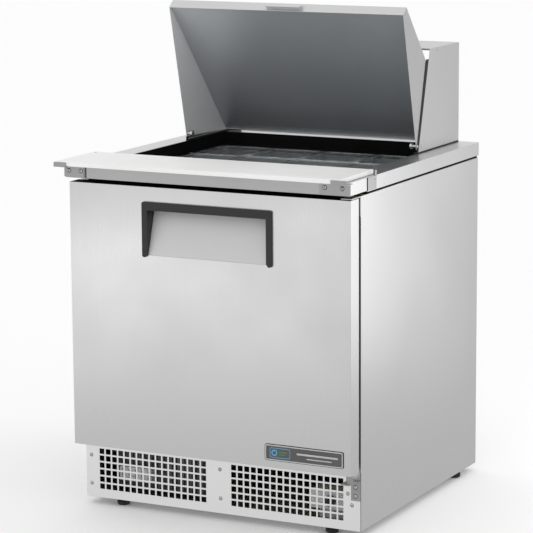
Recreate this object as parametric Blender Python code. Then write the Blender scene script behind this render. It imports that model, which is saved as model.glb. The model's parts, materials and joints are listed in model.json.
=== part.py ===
"""Sandwich prep table: a one-door undercounter refrigerator with a pan rail, hinged lid and cutting board.

Cabinet coordinates: +X right seen from the front, +Y back, +Z up. X is 0 on the cabinet's middle plane,
Y is 0 on the side panels' front edges and Z is 0 on the cabinet's underside. Everything hangs on one empty,
which carries the cabinet onto its feet and centres the outline on the world's origin. Lengths are in metres.
"""

from math import atan2, cos, hypot, pi, radians, sin, tan

import bmesh
import bpy
from mathutils import Matrix

# ---------------------------------------------------------------- driving dimensions

FIT = 0.0003  # gap between pieces that touch
SHEET = 0.0012  # stainless sheet
PLATE = 0.003  # hinge and bracket plate

CABINET_WIDTH = 0.816
CABINET_DEPTH = 0.7737
CABINET_HEIGHT = 0.8716
PANEL_RETURN = 0.022  # folded edge of the side panels
KICK_HEIGHT = 0.158
FOOT_HEIGHT = 0.020
FOOT_RADIUS = 0.0175
FOOT_FRONT_IN = 0.096  # front feet, in from the sides
FOOT_FRONT_Y = 0.030
FOOT_REAR_IN = 0.023
FOOT_REAR_AHEAD = 0.1013  # rear feet, ahead of the cabinet's back

WALL = 0.048  # insulation
LINER = 0.001
FRAME_DEPTH = 0.0202  # plastic frame round the door opening
HEADER_DROP = 0.0655  # how far the header hangs below the cabinet's top
HEADER_DEPTH = 0.100
TRAY_RIM = 0.014

WORKTOP_OVERHANG = 0.002
WORKTOP_BEHIND = 0.001
WORKTOP_FRONT = 0.0337
WORKTOP_GAP = 0.0064  # dark gap between cabinet and worktop
SKIRT = 0.0364
OPENING_IN = 0.061  # the pan opening, in from the cabinet's sides
OPENING_SETBACK = 0.0713  # behind the worktop's front edge
OPENING_AHEAD = 0.0697  # ahead of the worktop's back edge
RAIL_FRONT = -0.073
RAIL_DROP = 0.0336

PAN_COLUMNS = 4
PAN_ROWS = 3
PAN_DEPTH = 0.100
PAN_WALL = 0.0025
PAN_RIM = 0.0055
PAN_RIM_THICK = 0.002
PAN_DRAFT = 0.0065
PAN_CORNER = 0.020
PAN_GAP_X = 0.0008
PAN_GAP_Y = 0.001
PANS_IN = 0.0234  # the block of pans, in from the opening's sides
PANS_SETBACK = 0.013  # behind the opening's front
PANS_AHEAD = 0.0558  # ahead of the opening's back
LEDGE_DROP = 0.0344  # ledge below the worktop's top
LEDGE_GAP = 0.006  # beside the pans, for the bars' ends
LEDGE_LAP = 0.0004  # ledge above the cabinet's top
RIM_WALL = 0.0025  # upright part of the opening's liner
BAR_HEIGHT = 0.014
BAR_WIDTH = 0.0094
BAR_TAB = 0.008
RIM_SEAT = 0.0047  # how far a pan rim laps onto a ledge or a bar

BOARD_EXTRA = 0.001  # board longer than the worktop
BOARD_SHIFT = -0.0125  # the board lies a little to the left
BOARD_OVERHANG = 0.034  # in front of the rail
BOARD_SETBACK = 0.0075  # ahead of the pan opening
BOARD_THICK = 0.012
BRACKET_THICK = 0.0017
BRACKET_OUT = 0.0037  # brackets beyond the worktop's sides
BRACKET_LEFT = 0.0592
BRACKET_RIGHT = 0.0867
LIP_OUT_LEFT = 0.015  # lips beyond the worktop's sides
LIP_OUT_RIGHT = 0.010
LIP_WIDTH_LEFT = 0.037
LIP_WIDTH_RIGHT = 0.045
LIP_HEIGHT = 0.0109
LIP_GAP = 0.001

DOOR_INSET = 0.0004
DOOR_SEAT = 0.012  # room for the gasket
DOOR_THICK = 0.048
DOOR_ABOVE_KICK = 0.0015
DOOR_BELOW_TOP = 0.0038
DOOR_LINER = 0.0024
GASKET_WIDTH = 0.030
GASKET_EDGE = 0.010
HINGE_IN = 0.013  # hinge axis, in from the cabinet's side
HINGE_BEHIND = 0.020  # hinge axis, behind the door's face
HINGE_PIN = 0.0045
HINGE_CLEAR = 0.0006
HINGE_ARM_WIDTH = 0.026
HINGE_ARM_REACH = 0.055
HINGE_ARM_DROP = 0.021  # lower arm below the kick panel's top
HINGE_LOW_PLATE = 0.0555
HINGE_HIGH_PLATE = 0.0478
HINGE_GRIP = 0.020  # pins into the door

HANDLE_WIDTH = 0.3765
HANDLE_HEIGHT = 0.146
HANDLE_DROP = 0.0388  # below the door's top
HANDLE_BAR = 0.022
HANDLE_LEG = 0.013
HANDLE_PROUD = 0.0055
POCKET_DEPTH = 0.038
POCKET_WALL = 0.0025
POCKET_RISE = 0.0059  # foot of the pocket's floor above the handle's legs

BADGE_WIDTH = 0.2235
BADGE_HEIGHT = 0.0435
BADGE_IN = 0.0204  # in from the door's edge
BADGE_RISE = 0.019  # above the door's lower edge
BADGE_THICK = 0.002

HOLE = 0.0146  # square holes of the kick panel
HOLE_PITCH = 0.0194
HOLE_ROWS = 6
HOLE_BOTTOM = 0.0245
GRILLE_MARGIN = 0.0784  # plain strips beside a block of holes, both together
GRILLE_SHIFT = 0.008  # the right block stands further in

HOOD_PLAY = 0.0005  # beside the lid
HOOD_GAP = 0.004
HOOD_HEIGHT = 0.272
HOOD_DEPTH = 0.278
HOOD_AHEAD = 0.008  # ahead of the worktop's back edge
HOOD_LEAN = radians(15.43)
HOOD_RETURN = 0.025
SEAL_THICK = 0.0014
SEAL_WIDTH = 0.010
SEAL_LOW = 0.0102  # reach ahead of the hood at the worktop
SEAL_HIGH = 0.0165  # reach at the strip's upper end
SEAL_DROP = 0.0274

PIVOT_AHEAD = 0.0057  # ahead of the hood's foot
PIVOT_RISE = 0.0206  # above the worktop
PIVOT_RADIUS = 0.004
PIVOT_PLAY = 0.0005
PIVOT_HEAD = 0.008
PIVOT_REACH = 0.019
PIVOT_KNOB = 0.006
LID_EXTRA = 0.0035  # lid beyond the opening, at each side
LID_OPEN = radians(75.5)
LID_SETBACK = 0.0145  # lid panel's front end, behind the opening's front
LID_RISE = 0.0289  # and above the worktop
LID_TAIL = 0.070  # panel's rear end behind the pivot
LID_TAIL_RISE = 0.2189
LID_LIP_AHEAD = 0.011
LID_LIP_DROP = 0.0055
LID_THICK = 0.023
LID_HEEL = 0.0075  # lower corner of the side skirts, behind the pivot
LID_HEEL_DROP = 0.0071
LID_HANDLE_WIDTH = 0.108
LID_HANDLE_REACH = 0.016

SHELF_RISE = 0.234  # above the cold space's floor
SHELF_WIRE = 0.006
SHELF_SLOT = 0.024
SHELF_CLEAR = 0.012
SHELF_FRONT = 0.060
SHELF_AHEAD = 0.113  # ahead of the cold space's back

COIL_WIDTH = 0.300
COIL_DEPTH = 0.040
COIL_Y = 0.060
COIL_BOTTOM = 0.018
COIL_TOP = 0.146
COIL_PITCH = 0.012
COIL_FIN = 0.003
SHROUD_GAP = 0.006
FAN_RADIUS = 0.052
FAN_HUB = 0.016
FAN_DEPTH = 0.016
FAN_BLADES = 5
FAN_SWEEP = 0.003  # clearance round the blades
FAN_BACK = 0.016  # fan's middle behind the plate it turns in
MOTOR_BACK = 0.026
COMPRESSOR_RADIUS = 0.062
COMPRESSOR_HEIGHT = 0.118
COMPRESSOR_X = 0.160
COMPRESSOR_AHEAD = 0.2737
EVAPORATOR_IN = 0.0785
EVAPORATOR_DEPTH = 0.092
EVAPORATOR_HEIGHT = 0.180
EVAPORATOR_BELOW = 0.042  # below the pans
EVAPORATOR_WALL = 0.0015
FIN_PITCH = 0.020
FIN_THICK = 0.004
PIPE_RADIUS = 0.0055
PIPE_X = 0.230
PIPE_AHEAD = 0.0327
PIPE_LOW = 0.075
PIPE_BEND = 0.030
BOX_WIDTH = 0.114
BOX_DEPTH = 0.052
BOX_HEIGHT = 0.050
BOX_IN = 0.042
BOX_Y = 0.028
BOX_BOTTOM = 0.040
KNOB_RADIUS = 0.014
KNOB_DEPTH = 0.012
INLET_IN = 0.078
INLET_Z = 0.080
INLET_RADIUS = 0.011
INLET_FLANGE = 0.017
INLET_BORE = 0.005

# ---------------------------------------------------------------- sizes worked out from them

HALF = CABINET_WIDTH / 2
INSIDE = HALF - SHEET - FIT
BACK_FACE = CABINET_DEPTH - SHEET - FIT
BACK_INSIDE = BACK_FACE - SHEET - FIT
FRAME_FRONT = SHEET + FIT
FRAME_BACK = FRAME_FRONT + FRAME_DEPTH
LINER_FRONT = FRAME_BACK + FIT
LINER_HALF = INSIDE - WALL
LINER_FLOOR = KICK_HEIGHT + FIT + WALL
LINER_BACK = BACK_INSIDE - WALL
LINER_CEILING = CABINET_HEIGHT - HEADER_DROP

TOP_HALF = HALF + WORKTOP_OVERHANG
WORKTOP_BACK = CABINET_DEPTH + WORKTOP_BEHIND
WORKTOP_LOW = CABINET_HEIGHT + WORKTOP_GAP
WORKTOP_TOP = WORKTOP_LOW + SKIRT
OPENING_HALF = HALF - OPENING_IN
OPENING_FRONT = WORKTOP_FRONT + OPENING_SETBACK
OPENING_BACK = WORKTOP_BACK - OPENING_AHEAD

LEDGE_TOP = WORKTOP_TOP - LEDGE_DROP
LEDGE_LOW = CABINET_HEIGHT + LEDGE_LAP
PANS_HALF = OPENING_HALF - PANS_IN
PANS_FRONT = OPENING_FRONT + PANS_SETBACK
PANS_BACK = OPENING_BACK - PANS_AHEAD
PAN_PITCH_X = (2 * PANS_HALF + PAN_GAP_X) / PAN_COLUMNS
PAN_PITCH_Y = (PANS_BACK - PANS_FRONT + PAN_GAP_Y) / PAN_ROWS
PAN_WIDTH = PAN_PITCH_X - PAN_GAP_X
PAN_LENGTH = PAN_PITCH_Y - PAN_GAP_Y
LEDGE_HALF = PANS_HALF + LEDGE_GAP
RIM_UNDER = LEDGE_TOP + FIT
PAN_BOTTOM = RIM_UNDER + PAN_RIM_THICK - PAN_DEPTH

BOARD_HALF = TOP_HALF + BOARD_EXTRA / 2
BOARD_FRONT = RAIL_FRONT - BOARD_OVERHANG
BOARD_BACK = OPENING_FRONT - BOARD_SETBACK
BRACKET_END = TOP_HALF + BRACKET_OUT
LIP_FRONT = BOARD_FRONT - LIP_GAP - BRACKET_THICK
CENTRE_Y = (LIP_FRONT + WORKTOP_BACK) / 2

DOOR_HALF = HALF - DOOR_INSET
DOOR_BACK = -DOOR_SEAT
DOOR_FRONT = DOOR_BACK - DOOR_THICK
DOOR_BOTTOM = KICK_HEIGHT + DOOR_ABOVE_KICK
DOOR_TOP = CABINET_HEIGHT - DOOR_BELOW_TOP
HINGE_X = HALF - HINGE_IN
HINGE_Y = DOOR_FRONT + HINGE_BEHIND
HINGE_HOLE = HINGE_PIN + HINGE_CLEAR
HANDLE_TOP = DOOR_TOP - HANDLE_DROP
HANDLE_BOTTOM = HANDLE_TOP - HANDLE_HEIGHT
POCKET_HALF = HANDLE_WIDTH / 2 - HANDLE_LEG
POCKET_ROOF = HANDLE_TOP - HANDLE_BAR
POCKET_FOOT = HANDLE_BOTTOM + POCKET_RISE
POCKET_BACK = DOOR_FRONT + POCKET_DEPTH

LID_HALF = OPENING_HALF + LID_EXTRA
HOOD_HALF = LID_HALF + HOOD_PLAY + SHEET
HOOD_BOTTOM = WORKTOP_TOP + HOOD_GAP
HOOD_TOP = HOOD_BOTTOM + HOOD_HEIGHT
HOOD_BACK = WORKTOP_BACK - HOOD_AHEAD
HOOD_FRONT = HOOD_BACK - HOOD_DEPTH
SEAL_TOP = HOOD_TOP - SEAL_DROP
PIVOT_Y = HOOD_FRONT - PIVOT_AHEAD
PIVOT_Z = WORKTOP_TOP + PIVOT_RISE
LID_FRONT_Y = OPENING_FRONT + LID_SETBACK - PIVOT_Y
LID_FRONT_Z = WORKTOP_TOP + LID_RISE - PIVOT_Z
LID_SLOPE = atan2(LID_TAIL_RISE - LID_FRONT_Z, LID_TAIL - LID_FRONT_Y)
LID_LENGTH = hypot(LID_TAIL_RISE - LID_FRONT_Z, LID_TAIL - LID_FRONT_Y)

SHELF_LEVEL = LINER_FLOOR + SHELF_RISE
SHELF_BACK = LINER_BACK - SHELF_AHEAD
COIL_X = -HALF / 2
SHROUD_Y = COIL_Y + COIL_DEPTH + SHROUD_GAP
FAN_Z = (COIL_BOTTOM + COIL_TOP) / 2
COMPRESSOR_Y = CABINET_DEPTH - COMPRESSOR_AHEAD
EVAPORATOR_HALF = LINER_HALF - EVAPORATOR_IN
EVAPORATOR_TOP = PAN_BOTTOM - EVAPORATOR_BELOW
EVAPORATOR_BOTTOM = EVAPORATOR_TOP - EVAPORATOR_HEIGHT
EVAPORATOR_Z = (EVAPORATOR_BOTTOM + EVAPORATOR_TOP) / 2
EVAPORATOR_BACK = LINER_BACK - LINER - FIT
EVAPORATOR_FRONT = EVAPORATOR_BACK - EVAPORATOR_DEPTH
PIPE_Y = LINER_BACK - PIPE_AHEAD
BOX_RIGHT = HALF - BOX_IN
BOX_LEFT = BOX_RIGHT - BOX_WIDTH
INLET_X = INLET_IN - HALF

# ---------------------------------------------------------------- modelling helpers

MATERIALS = {}


def clear_scene():
    for thing in list(bpy.data.objects):
        bpy.data.objects.remove(thing, do_unlink=True)


def material(name, colour, roughness, metallic=0.0, alpha=1.0):
    """A Principled material, made once for each name."""
    if name not in MATERIALS:
        made = bpy.data.materials.new(name)
        made.use_nodes = True
        shader = made.node_tree.nodes["Principled BSDF"]
        shader.inputs["Base Color"].default_value = (*colour, 1.0)
        shader.inputs["Roughness"].default_value = roughness
        shader.inputs["Metallic"].default_value = metallic
        shader.inputs["Alpha"].default_value = alpha
        MATERIALS[name] = made
    return MATERIALS[name]


def new_object(name, mesh, parent, look):
    """A node under the empty, body or other piece that carries it."""
    thing = bpy.data.objects.new(name, mesh)
    bpy.context.scene.collection.objects.link(thing)
    thing.parent = parent
    if look:
        mesh.materials.append(look)
    return thing


def empty(name, parent, place):
    thing = bpy.data.objects.new(name, None)
    bpy.context.scene.collection.objects.link(thing)
    thing.parent = parent
    thing.location = place
    return thing


def add_block(bm, low, high):
    """One box between two corners."""
    size = [b - a for a, b in zip(low, high)]
    middle = [(a + b) / 2 for a, b in zip(low, high)]
    bmesh.ops.create_cube(bm, size=1.0, matrix=Matrix.Translation(middle) @ Matrix.Diagonal((*size, 1.0)))


def add_prism(bm, outline, axis, low, high):
    """An outline in the plane across an axis, pushed from low to high along it."""
    u, v = [(1, 2), (2, 0), (0, 1)][axis]

    def corner(point, along):
        place = [0.0, 0.0, 0.0]
        place[u], place[v], place[axis] = point[0], point[1], along
        return bm.verts.new(place)

    ends = [[corner(p, along) for p in outline] for along in (low, high)]
    count = len(outline)
    faces = [bm.faces.new(ends[0][::-1]), bm.faces.new(ends[1])]
    for i in range(count):
        j = (i + 1) % count
        faces.append(bm.faces.new((ends[0][i], ends[0][j], ends[1][j], ends[1][i])))
    bmesh.ops.recalc_face_normals(bm, faces=faces)


def add_cylinder(bm, centre, axis, radius, length, sides=24):
    """A cylinder whose middle is at centre, along X, Y or Z (0, 1 or 2)."""
    turn = [Matrix.Rotation(pi / 2, 4, "Y"), Matrix.Rotation(-pi / 2, 4, "X"), Matrix.Identity(4)][axis]
    bmesh.ops.create_cone(
        bm,
        cap_ends=True,
        segments=sides,
        radius1=radius,
        radius2=radius,
        depth=length,
        matrix=Matrix.Translation(centre) @ turn,
    )


def add_lathe(bm, profile, centre, sides=24):
    """A profile of (radius, height) turned about a vertical axis, closed at both ends on the axis."""
    rings = []
    for radius, height in profile:
        if radius == 0:
            rings.append([bm.verts.new((centre[0], centre[1], centre[2] + height))])
            continue
        rings.append(
            [
                bm.verts.new(
                    (
                        centre[0] + radius * cos(2 * pi * i / sides),
                        centre[1] + radius * sin(2 * pi * i / sides),
                        centre[2] + height,
                    )
                )
                for i in range(sides)
            ]
        )
    faces = []
    for lower, upper in zip(rings, rings[1:]):
        for i in range(sides):
            j = (i + 1) % sides
            if len(lower) == 1:
                faces.append(bm.faces.new((lower[0], upper[j], upper[i])))
            elif len(upper) == 1:
                faces.append(bm.faces.new((lower[i], lower[j], upper[0])))
            else:
                faces.append(bm.faces.new((lower[i], lower[j], upper[j], upper[i])))
    bmesh.ops.recalc_face_normals(bm, faces=faces)


def build(name, parent, look, *shapes):
    """A node from a few shapes that don't touch each other: each is (function, arguments...)."""
    bm = bmesh.new()
    for function, *arguments in shapes:
        function(bm, *arguments)
    mesh = bpy.data.meshes.new(name)
    bm.to_mesh(mesh)
    bm.free()
    return new_object(name, mesh, parent, look)


def combine(target, operation, *shapes):
    """Unites shapes with a node, or cuts them from it, one hidden tool for each call."""
    tool = build(f"{target.name}_tool_{len(target.modifiers)}", target.parent, None, *shapes)
    tool.hide_render = True
    tool.hide_set(True)
    tool.display_type = "WIRE"
    step = target.modifiers.new(operation.lower(), "BOOLEAN")
    step.operation = operation
    step.solver = "EXACT"
    step.object = tool
    return target


def join(target, *shapes):
    for shape in shapes:
        combine(target, "UNION", shape)
    return target


def cut(target, *shapes):
    return combine(target, "DIFFERENCE", *shapes)


def soften(target, width, segments=2):
    """A small rounded edge where faces meet at more than 40 degrees."""
    bevel = target.modifiers.new("edges", "BEVEL")
    bevel.width = width
    bevel.segments = segments
    bevel.limit_method = "ANGLE"
    bevel.angle_limit = radians(40)
    return target


def smooth(target):
    target.data.shade_smooth()
    target.data.set_sharp_from_angle(angle=radians(35))
    return target


# ---------------------------------------------------------------- materials

STEEL = material("stainless_steel", (0.63, 0.63, 0.63), 0.32, 1.0)
DARK_STEEL = material("lid_liner_steel", (0.20, 0.22, 0.24), 0.38, 1.0)
GALVANISED = material("galvanised_steel", (0.50, 0.51, 0.52), 0.45, 1.0)
ALUMINIUM = material("aluminium", (0.75, 0.76, 0.77), 0.40, 1.0)
COPPER = material("copper_pipe", (0.72, 0.36, 0.20), 0.35, 1.0)
BLACK = material("black_plastic", (0.025, 0.025, 0.027), 0.45)
RUBBER = material("black_rubber", (0.018, 0.018, 0.018), 0.70)
BOARD = material("white_board", (0.90, 0.90, 0.89), 0.50)
FOAM = material("foam", (0.80, 0.72, 0.48), 0.90)
POLYCARBONATE = material("clear_pan", (0.80, 0.84, 0.86), 0.12, 0.0, 0.35)
WIRE = material("coated_wire", (0.80, 0.80, 0.80), 0.40)
ENAMEL = material("black_enamel", (0.03, 0.03, 0.03), 0.35)
PALE = material("pale_plastic", (0.72, 0.73, 0.72), 0.50)
PLATE_LOOK = material("badge", (0.16, 0.17, 0.18), 0.30, 0.4)

# ---------------------------------------------------------------- cabinet


def side_panel(name, side, parent):
    """A folded sheet with returns at the front and the back."""
    outer, inner, edge = HALF, HALF - SHEET, HALF - PANEL_RETURN
    outline = [
        (outer, 0),
        (outer, CABINET_DEPTH),
        (edge, CABINET_DEPTH),
        (edge, CABINET_DEPTH - SHEET),
        (inner, CABINET_DEPTH - SHEET),
        (inner, SHEET),
        (edge, SHEET),
        (edge, 0),
    ]
    outline = [(side * x, y) for x, y in outline]
    return build(name, parent, STEEL, (add_prism, outline, 2, 0.0, CABINET_HEIGHT))


def back_panel(parent):
    low, high = (-INSIDE, BACK_FACE - SHEET, FIT), (INSIDE, BACK_FACE, CABINET_HEIGHT - FIT)
    panel = build("back_panel", parent, GALVANISED, (add_block, low, high))
    return cut(panel, (add_cylinder, (INLET_X, BACK_FACE, INLET_Z), 1, INLET_RADIUS + FIT, 0.02))


def liner_outline(grow, reach):
    """Side view of the cold space: door opening in front, pan rail opening on top, header between them."""
    front, top = LINER_FRONT - reach, CABINET_HEIGHT + reach
    return [
        (front, LINER_FLOOR - grow),
        (LINER_BACK + grow, LINER_FLOOR - grow),
        (LINER_BACK + grow, top),
        (HEADER_DEPTH - grow, top),
        (HEADER_DEPTH - grow, LINER_CEILING + grow),
        (front, LINER_CEILING + grow),
    ]


def cabinet_liner(parent):
    outside = LINER_HALF
    liner = build("cabinet_liner", parent, ALUMINIUM, (add_prism, liner_outline(0, 0), 0, -outside, outside))
    inside = outside - LINER
    cut(liner, (add_prism, liner_outline(-LINER, 0.01), 0, -inside, inside))
    return cut(liner, pipe_hole())


def cabinet_foam(parent):
    low, high = (-INSIDE, LINER_FRONT, KICK_HEIGHT + FIT), (INSIDE, BACK_INSIDE, CABINET_HEIGHT - FIT)
    foam = build("cabinet_foam", parent, FOAM, (add_block, low, high))
    room = LINER_HALF + FIT
    cut(foam, (add_prism, liner_outline(FIT, 0.01), 0, -room, room))
    return cut(foam, pipe_hole())


def door_frame(parent):
    """Plastic frame that the gasket closes on."""
    low, high = (-INSIDE, FRAME_FRONT, KICK_HEIGHT + FIT), (INSIDE, FRAME_BACK, CABINET_HEIGHT - FIT)
    frame = build("door_frame", parent, BLACK, (add_block, low, high))
    clear = LINER_HALF - LINER
    return cut(
        frame,
        (add_block, (-clear, -0.01, LINER_FLOOR + LINER), (clear, FRAME_BACK + 0.01, LINER_CEILING - LINER)),
    )


def base_tray(parent):
    tray = build(
        "base_tray", parent, GALVANISED,
        (add_block, (-INSIDE, FRAME_FRONT, 0), (INSIDE, BACK_INSIDE, TRAY_RIM)),
    )
    hollow = INSIDE - SHEET
    low, high = (-hollow, FRAME_FRONT + SHEET, SHEET), (hollow, BACK_INSIDE - SHEET, TRAY_RIM + 0.01)
    return cut(tray, (add_block, low, high))


def hole_grid(middle):
    """The square holes of one block, as many as fit in half of the panel."""
    columns = round((HALF - GRILLE_MARGIN) / HOLE_PITCH)
    first = middle - (columns - 1) / 2 * HOLE_PITCH
    for column in range(columns):
        for row in range(HOLE_ROWS):
            x = first + column * HOLE_PITCH
            z = HOLE_BOTTOM + HOLE / 2 + row * HOLE_PITCH
            low = (x - HOLE / 2, -0.01, z - HOLE / 2)
            yield add_block, low, (x + HOLE / 2, 0.01, z + HOLE / 2)


def front_grille(parent):
    half = HALF - FIT
    plate = build(
        "front_grille", parent, STEEL, (add_block, (-half, -FIT - SHEET, FIT), (half, -FIT, KICK_HEIGHT))
    )
    return cut(
        plate,
        *[shape for middle in (-HALF / 2, HALF / 2 - GRILLE_SHIFT) for shape in hole_grid(middle)],
    )


def foot(name, x, y, parent):
    base = -FOOT_HEIGHT
    profile = [
        (0, 0),
        (FOOT_RADIUS * 0.8, 0),
        (FOOT_RADIUS, 0.003),
        (FOOT_RADIUS, 0.011),
        (FOOT_RADIUS * 0.6, 0.0145),
        (FOOT_RADIUS * 0.6, FOOT_HEIGHT - FIT),
        (0, FOOT_HEIGHT - FIT),
    ]
    return smooth(build(name, parent, RUBBER, (add_lathe, profile, (x, y, base))))


# ---------------------------------------------------------------- refrigeration

def pipe_hole():
    """The way of the suction line through the floor of the cold space."""
    return add_cylinder, (PIPE_X, PIPE_Y, LINER_FLOOR), 2, PIPE_RADIUS + FIT, 4 * WALL


def finned_coil(name, low, high, pitch, fin, parent):
    """A core slab with upright fins standing out of its front and back."""
    bite = 0.004
    slab = (add_block, (low[0], low[1] + bite, low[2]), (high[0], high[1] - bite, high[2]))
    core = build(name, parent, ALUMINIUM, slab)
    width = high[0] - low[0]
    count = int(width / pitch)
    ribs = []
    for i in range(count):
        x = low[0] + (i + 0.5) * width / count
        ribs.append((add_block, (x - fin / 2, low[1], low[2] + bite), (x + fin / 2, high[1], high[2] - bite)))
    return combine(core, "UNION", *ribs)


def fan(name, centre, parent):
    """A hub with pitched blades, turning about Y through its parent empty."""
    axis = empty(name + "_axis", parent, centre)
    blade = build(name, axis, BLACK, (add_cylinder, (0, 0, 0), 1, FAN_HUB, FAN_DEPTH, 20))
    reach = FAN_RADIUS - 0.001
    pitch = Matrix.Rotation(radians(24), 4, "Z")
    for i in range(FAN_BLADES):
        turn = Matrix.Rotation(2 * pi * i / FAN_BLADES, 4, "Y")

        def vane(bm, turn=turn):
            before = set(bm.verts)
            add_block(bm, (-0.013, -0.0008, FAN_HUB * 0.7), (0.013, 0.0008, reach))
            added = [v for v in bm.verts if v not in before]
            bmesh.ops.transform(bm, matrix=turn @ pitch, verts=added)

        combine(blade, "UNION", (vane,))
    return smooth(blade)


def fan_shroud(parent):
    """Plate with the air hole, and the motor held in it by three arms."""
    half = COIL_WIDTH / 2
    plate = build(
        "fan_shroud",
        parent,
        GALVANISED,
        (add_block, (COIL_X - half, SHROUD_Y, COIL_BOTTOM), (COIL_X + half, SHROUD_Y + SHEET, COIL_TOP)),
    )
    middle = (COIL_X, SHROUD_Y, FAN_Z)
    cut(plate, (add_cylinder, middle, 1, FAN_RADIUS + FAN_SWEEP, 0.02, 32))
    back = SHROUD_Y + MOTOR_BACK
    motor = (add_cylinder, (COIL_X, back + 0.025, FAN_Z), 1, 0.024, 0.050, 20)
    join(plate, motor)
    arm = FAN_RADIUS + FAN_SWEEP + 0.006
    for side in (-1, 1):
        x = COIL_X + side * arm
        out = (
            add_block, (x - 0.004, SHROUD_Y + SHEET / 2, FAN_Z - 0.004),
            (x + 0.004, back + 0.006, FAN_Z + 0.004),
        )
        near, far = sorted((COIL_X + side * 0.012, x))
        across = (add_block, (near, back + 0.002, FAN_Z - 0.004), (far, back + 0.006, FAN_Z + 0.004))
        join(plate, out, across)
    return plate


def compressor(parent):
    r, h = COMPRESSOR_RADIUS, COMPRESSOR_HEIGHT
    base = SHEET + FIT
    profile = [
        (0, 0), (r * 0.72, 0), (r * 0.94, 0.012), (r, 0.03), (r, h * 0.62), (r * 0.93, h * 0.82),
        (r * 0.62, h * 0.96), (0, h),
    ]
    body = build(
        "compressor", parent, ENAMEL, (add_lathe, profile, (COMPRESSOR_X, COMPRESSOR_Y, base + 0.012))
    )
    plate_half = r + 0.022
    plate = (
        add_block,
        (COMPRESSOR_X - plate_half, COMPRESSOR_Y - plate_half * 0.7, base),
        (COMPRESSOR_X + plate_half, COMPRESSOR_Y + plate_half * 0.7, base + 0.014),
    )
    terminals = (
        add_block,
        (COMPRESSOR_X - r - 0.020, COMPRESSOR_Y - 0.024, base + 0.040),
        (COMPRESSOR_X - r + 0.012, COMPRESSOR_Y + 0.024, base + 0.095),
    )
    return smooth(join(body, plate, terminals))


def suction_line(parent):
    """Copper pipe from the coil in the cold space down through the floor, then to the compressor's side."""
    line = bpy.data.curves.new("suction_line", "CURVE")
    line.dimensions = "3D"
    line.bevel_depth = PIPE_RADIUS
    line.bevel_resolution = 2
    line.use_fill_caps = True
    spline = line.splines.new("POLY")
    low, bend = PIPE_LOW, PIPE_BEND
    target = COMPRESSOR_X + COMPRESSOR_RADIUS + 0.003
    points = [(PIPE_X, PIPE_Y, EVAPORATOR_BOTTOM - 0.012), (PIPE_X, PIPE_Y, low + bend)]
    points += [
        (PIPE_X, PIPE_Y - bend * (1 - cos(a)), low + bend * (1 - sin(a)))
        for a in (pi / 8, pi / 4, 3 * pi / 8, pi / 2)
    ]
    points.append((PIPE_X, COMPRESSOR_Y + bend, low))
    points += [
        (PIPE_X - bend * (1 - cos(a)), COMPRESSOR_Y + bend * (1 - sin(a)), low)
        for a in (pi / 8, pi / 4, 3 * pi / 8, pi / 2)
    ]
    points = [p for p in points if p[0] > target] + [(target, COMPRESSOR_Y + bend * 0.5, low)]
    spline.points.add(len(points) - 1)
    for slot, place in zip(spline.points, points):
        slot.co = (*place, 1.0)
    return new_object("suction_line", line, parent, COPPER)


def control_box(parent):
    """Thermostat box on a folded foot, behind the right block of holes."""
    back = BOX_Y + BOX_DEPTH
    body = (add_block, (BOX_LEFT, BOX_Y, BOX_BOTTOM), (BOX_RIGHT, back, BOX_BOTTOM + BOX_HEIGHT))
    leg = (add_block, (BOX_LEFT, back - 0.002, SHEET + FIT), (BOX_RIGHT, back, BOX_BOTTOM + 0.004))
    return join(build("control_box", parent, PALE, body), leg)


def thermostat_knob(parent):
    centre = ((BOX_LEFT + BOX_RIGHT) / 2, BOX_Y - FIT - KNOB_DEPTH / 2, BOX_BOTTOM + BOX_HEIGHT / 2)
    axis = empty("thermostat_knob_axis", parent, centre)
    knob = build("thermostat_knob", axis, BLACK, (add_cylinder, (0, 0, 0), 1, KNOB_RADIUS, KNOB_DEPTH, 28))
    face = -KNOB_DEPTH / 2
    pointer = (add_block, (-0.0012, face - 0.0015, 0.002), (0.0012, face + 0.002, KNOB_RADIUS - 0.001))
    return smooth(join(knob, pointer))


def power_inlet(parent):
    """Cable gland in the back panel. No cord is fitted."""
    middle = (INLET_X, BACK_FACE - 0.0075, INLET_Z)
    gland = build("power_inlet", parent, BLACK, (add_cylinder, middle, 1, INLET_RADIUS, 0.024, 24))
    join(gland, (add_cylinder, (INLET_X, BACK_INSIDE - 0.003, INLET_Z), 1, INLET_FLANGE, 0.006, 24))
    return smooth(cut(gland, (add_cylinder, middle, 1, INLET_BORE, 0.05, 16)))


def evaporator_housing(parent):
    """Box open below and behind; its fan motor is carried on arms in the air hole."""
    half, front, back, wall = EVAPORATOR_HALF, EVAPORATOR_FRONT, EVAPORATOR_BACK, EVAPORATOR_WALL
    housing = build(
        "evaporator_housing",
        parent,
        ALUMINIUM,
        (add_block, (-half, front, EVAPORATOR_BOTTOM), (half, back, EVAPORATOR_TOP)),
    )
    cut(
        housing,
        (
            add_block,
            (-half + wall, front + wall, EVAPORATOR_BOTTOM - 0.01),
            (half - wall, back + 0.01, EVAPORATOR_TOP - wall),
        ),
    )
    hole = FAN_RADIUS + FAN_SWEEP
    cut(housing, (add_cylinder, (0, front, EVAPORATOR_Z), 1, hole, 0.02, 32))
    motor_back = front + wall
    join(housing, (add_cylinder, (0, motor_back - 0.009, EVAPORATOR_Z), 1, 0.020, 0.018, 20))
    across = (
        add_block, (-hole - 0.004, front, EVAPORATOR_Z - 0.004),
        (hole + 0.004, motor_back, EVAPORATOR_Z + 0.004),
    )
    return join(housing, across)


# ---------------------------------------------------------------- worktop and pan rail


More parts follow.
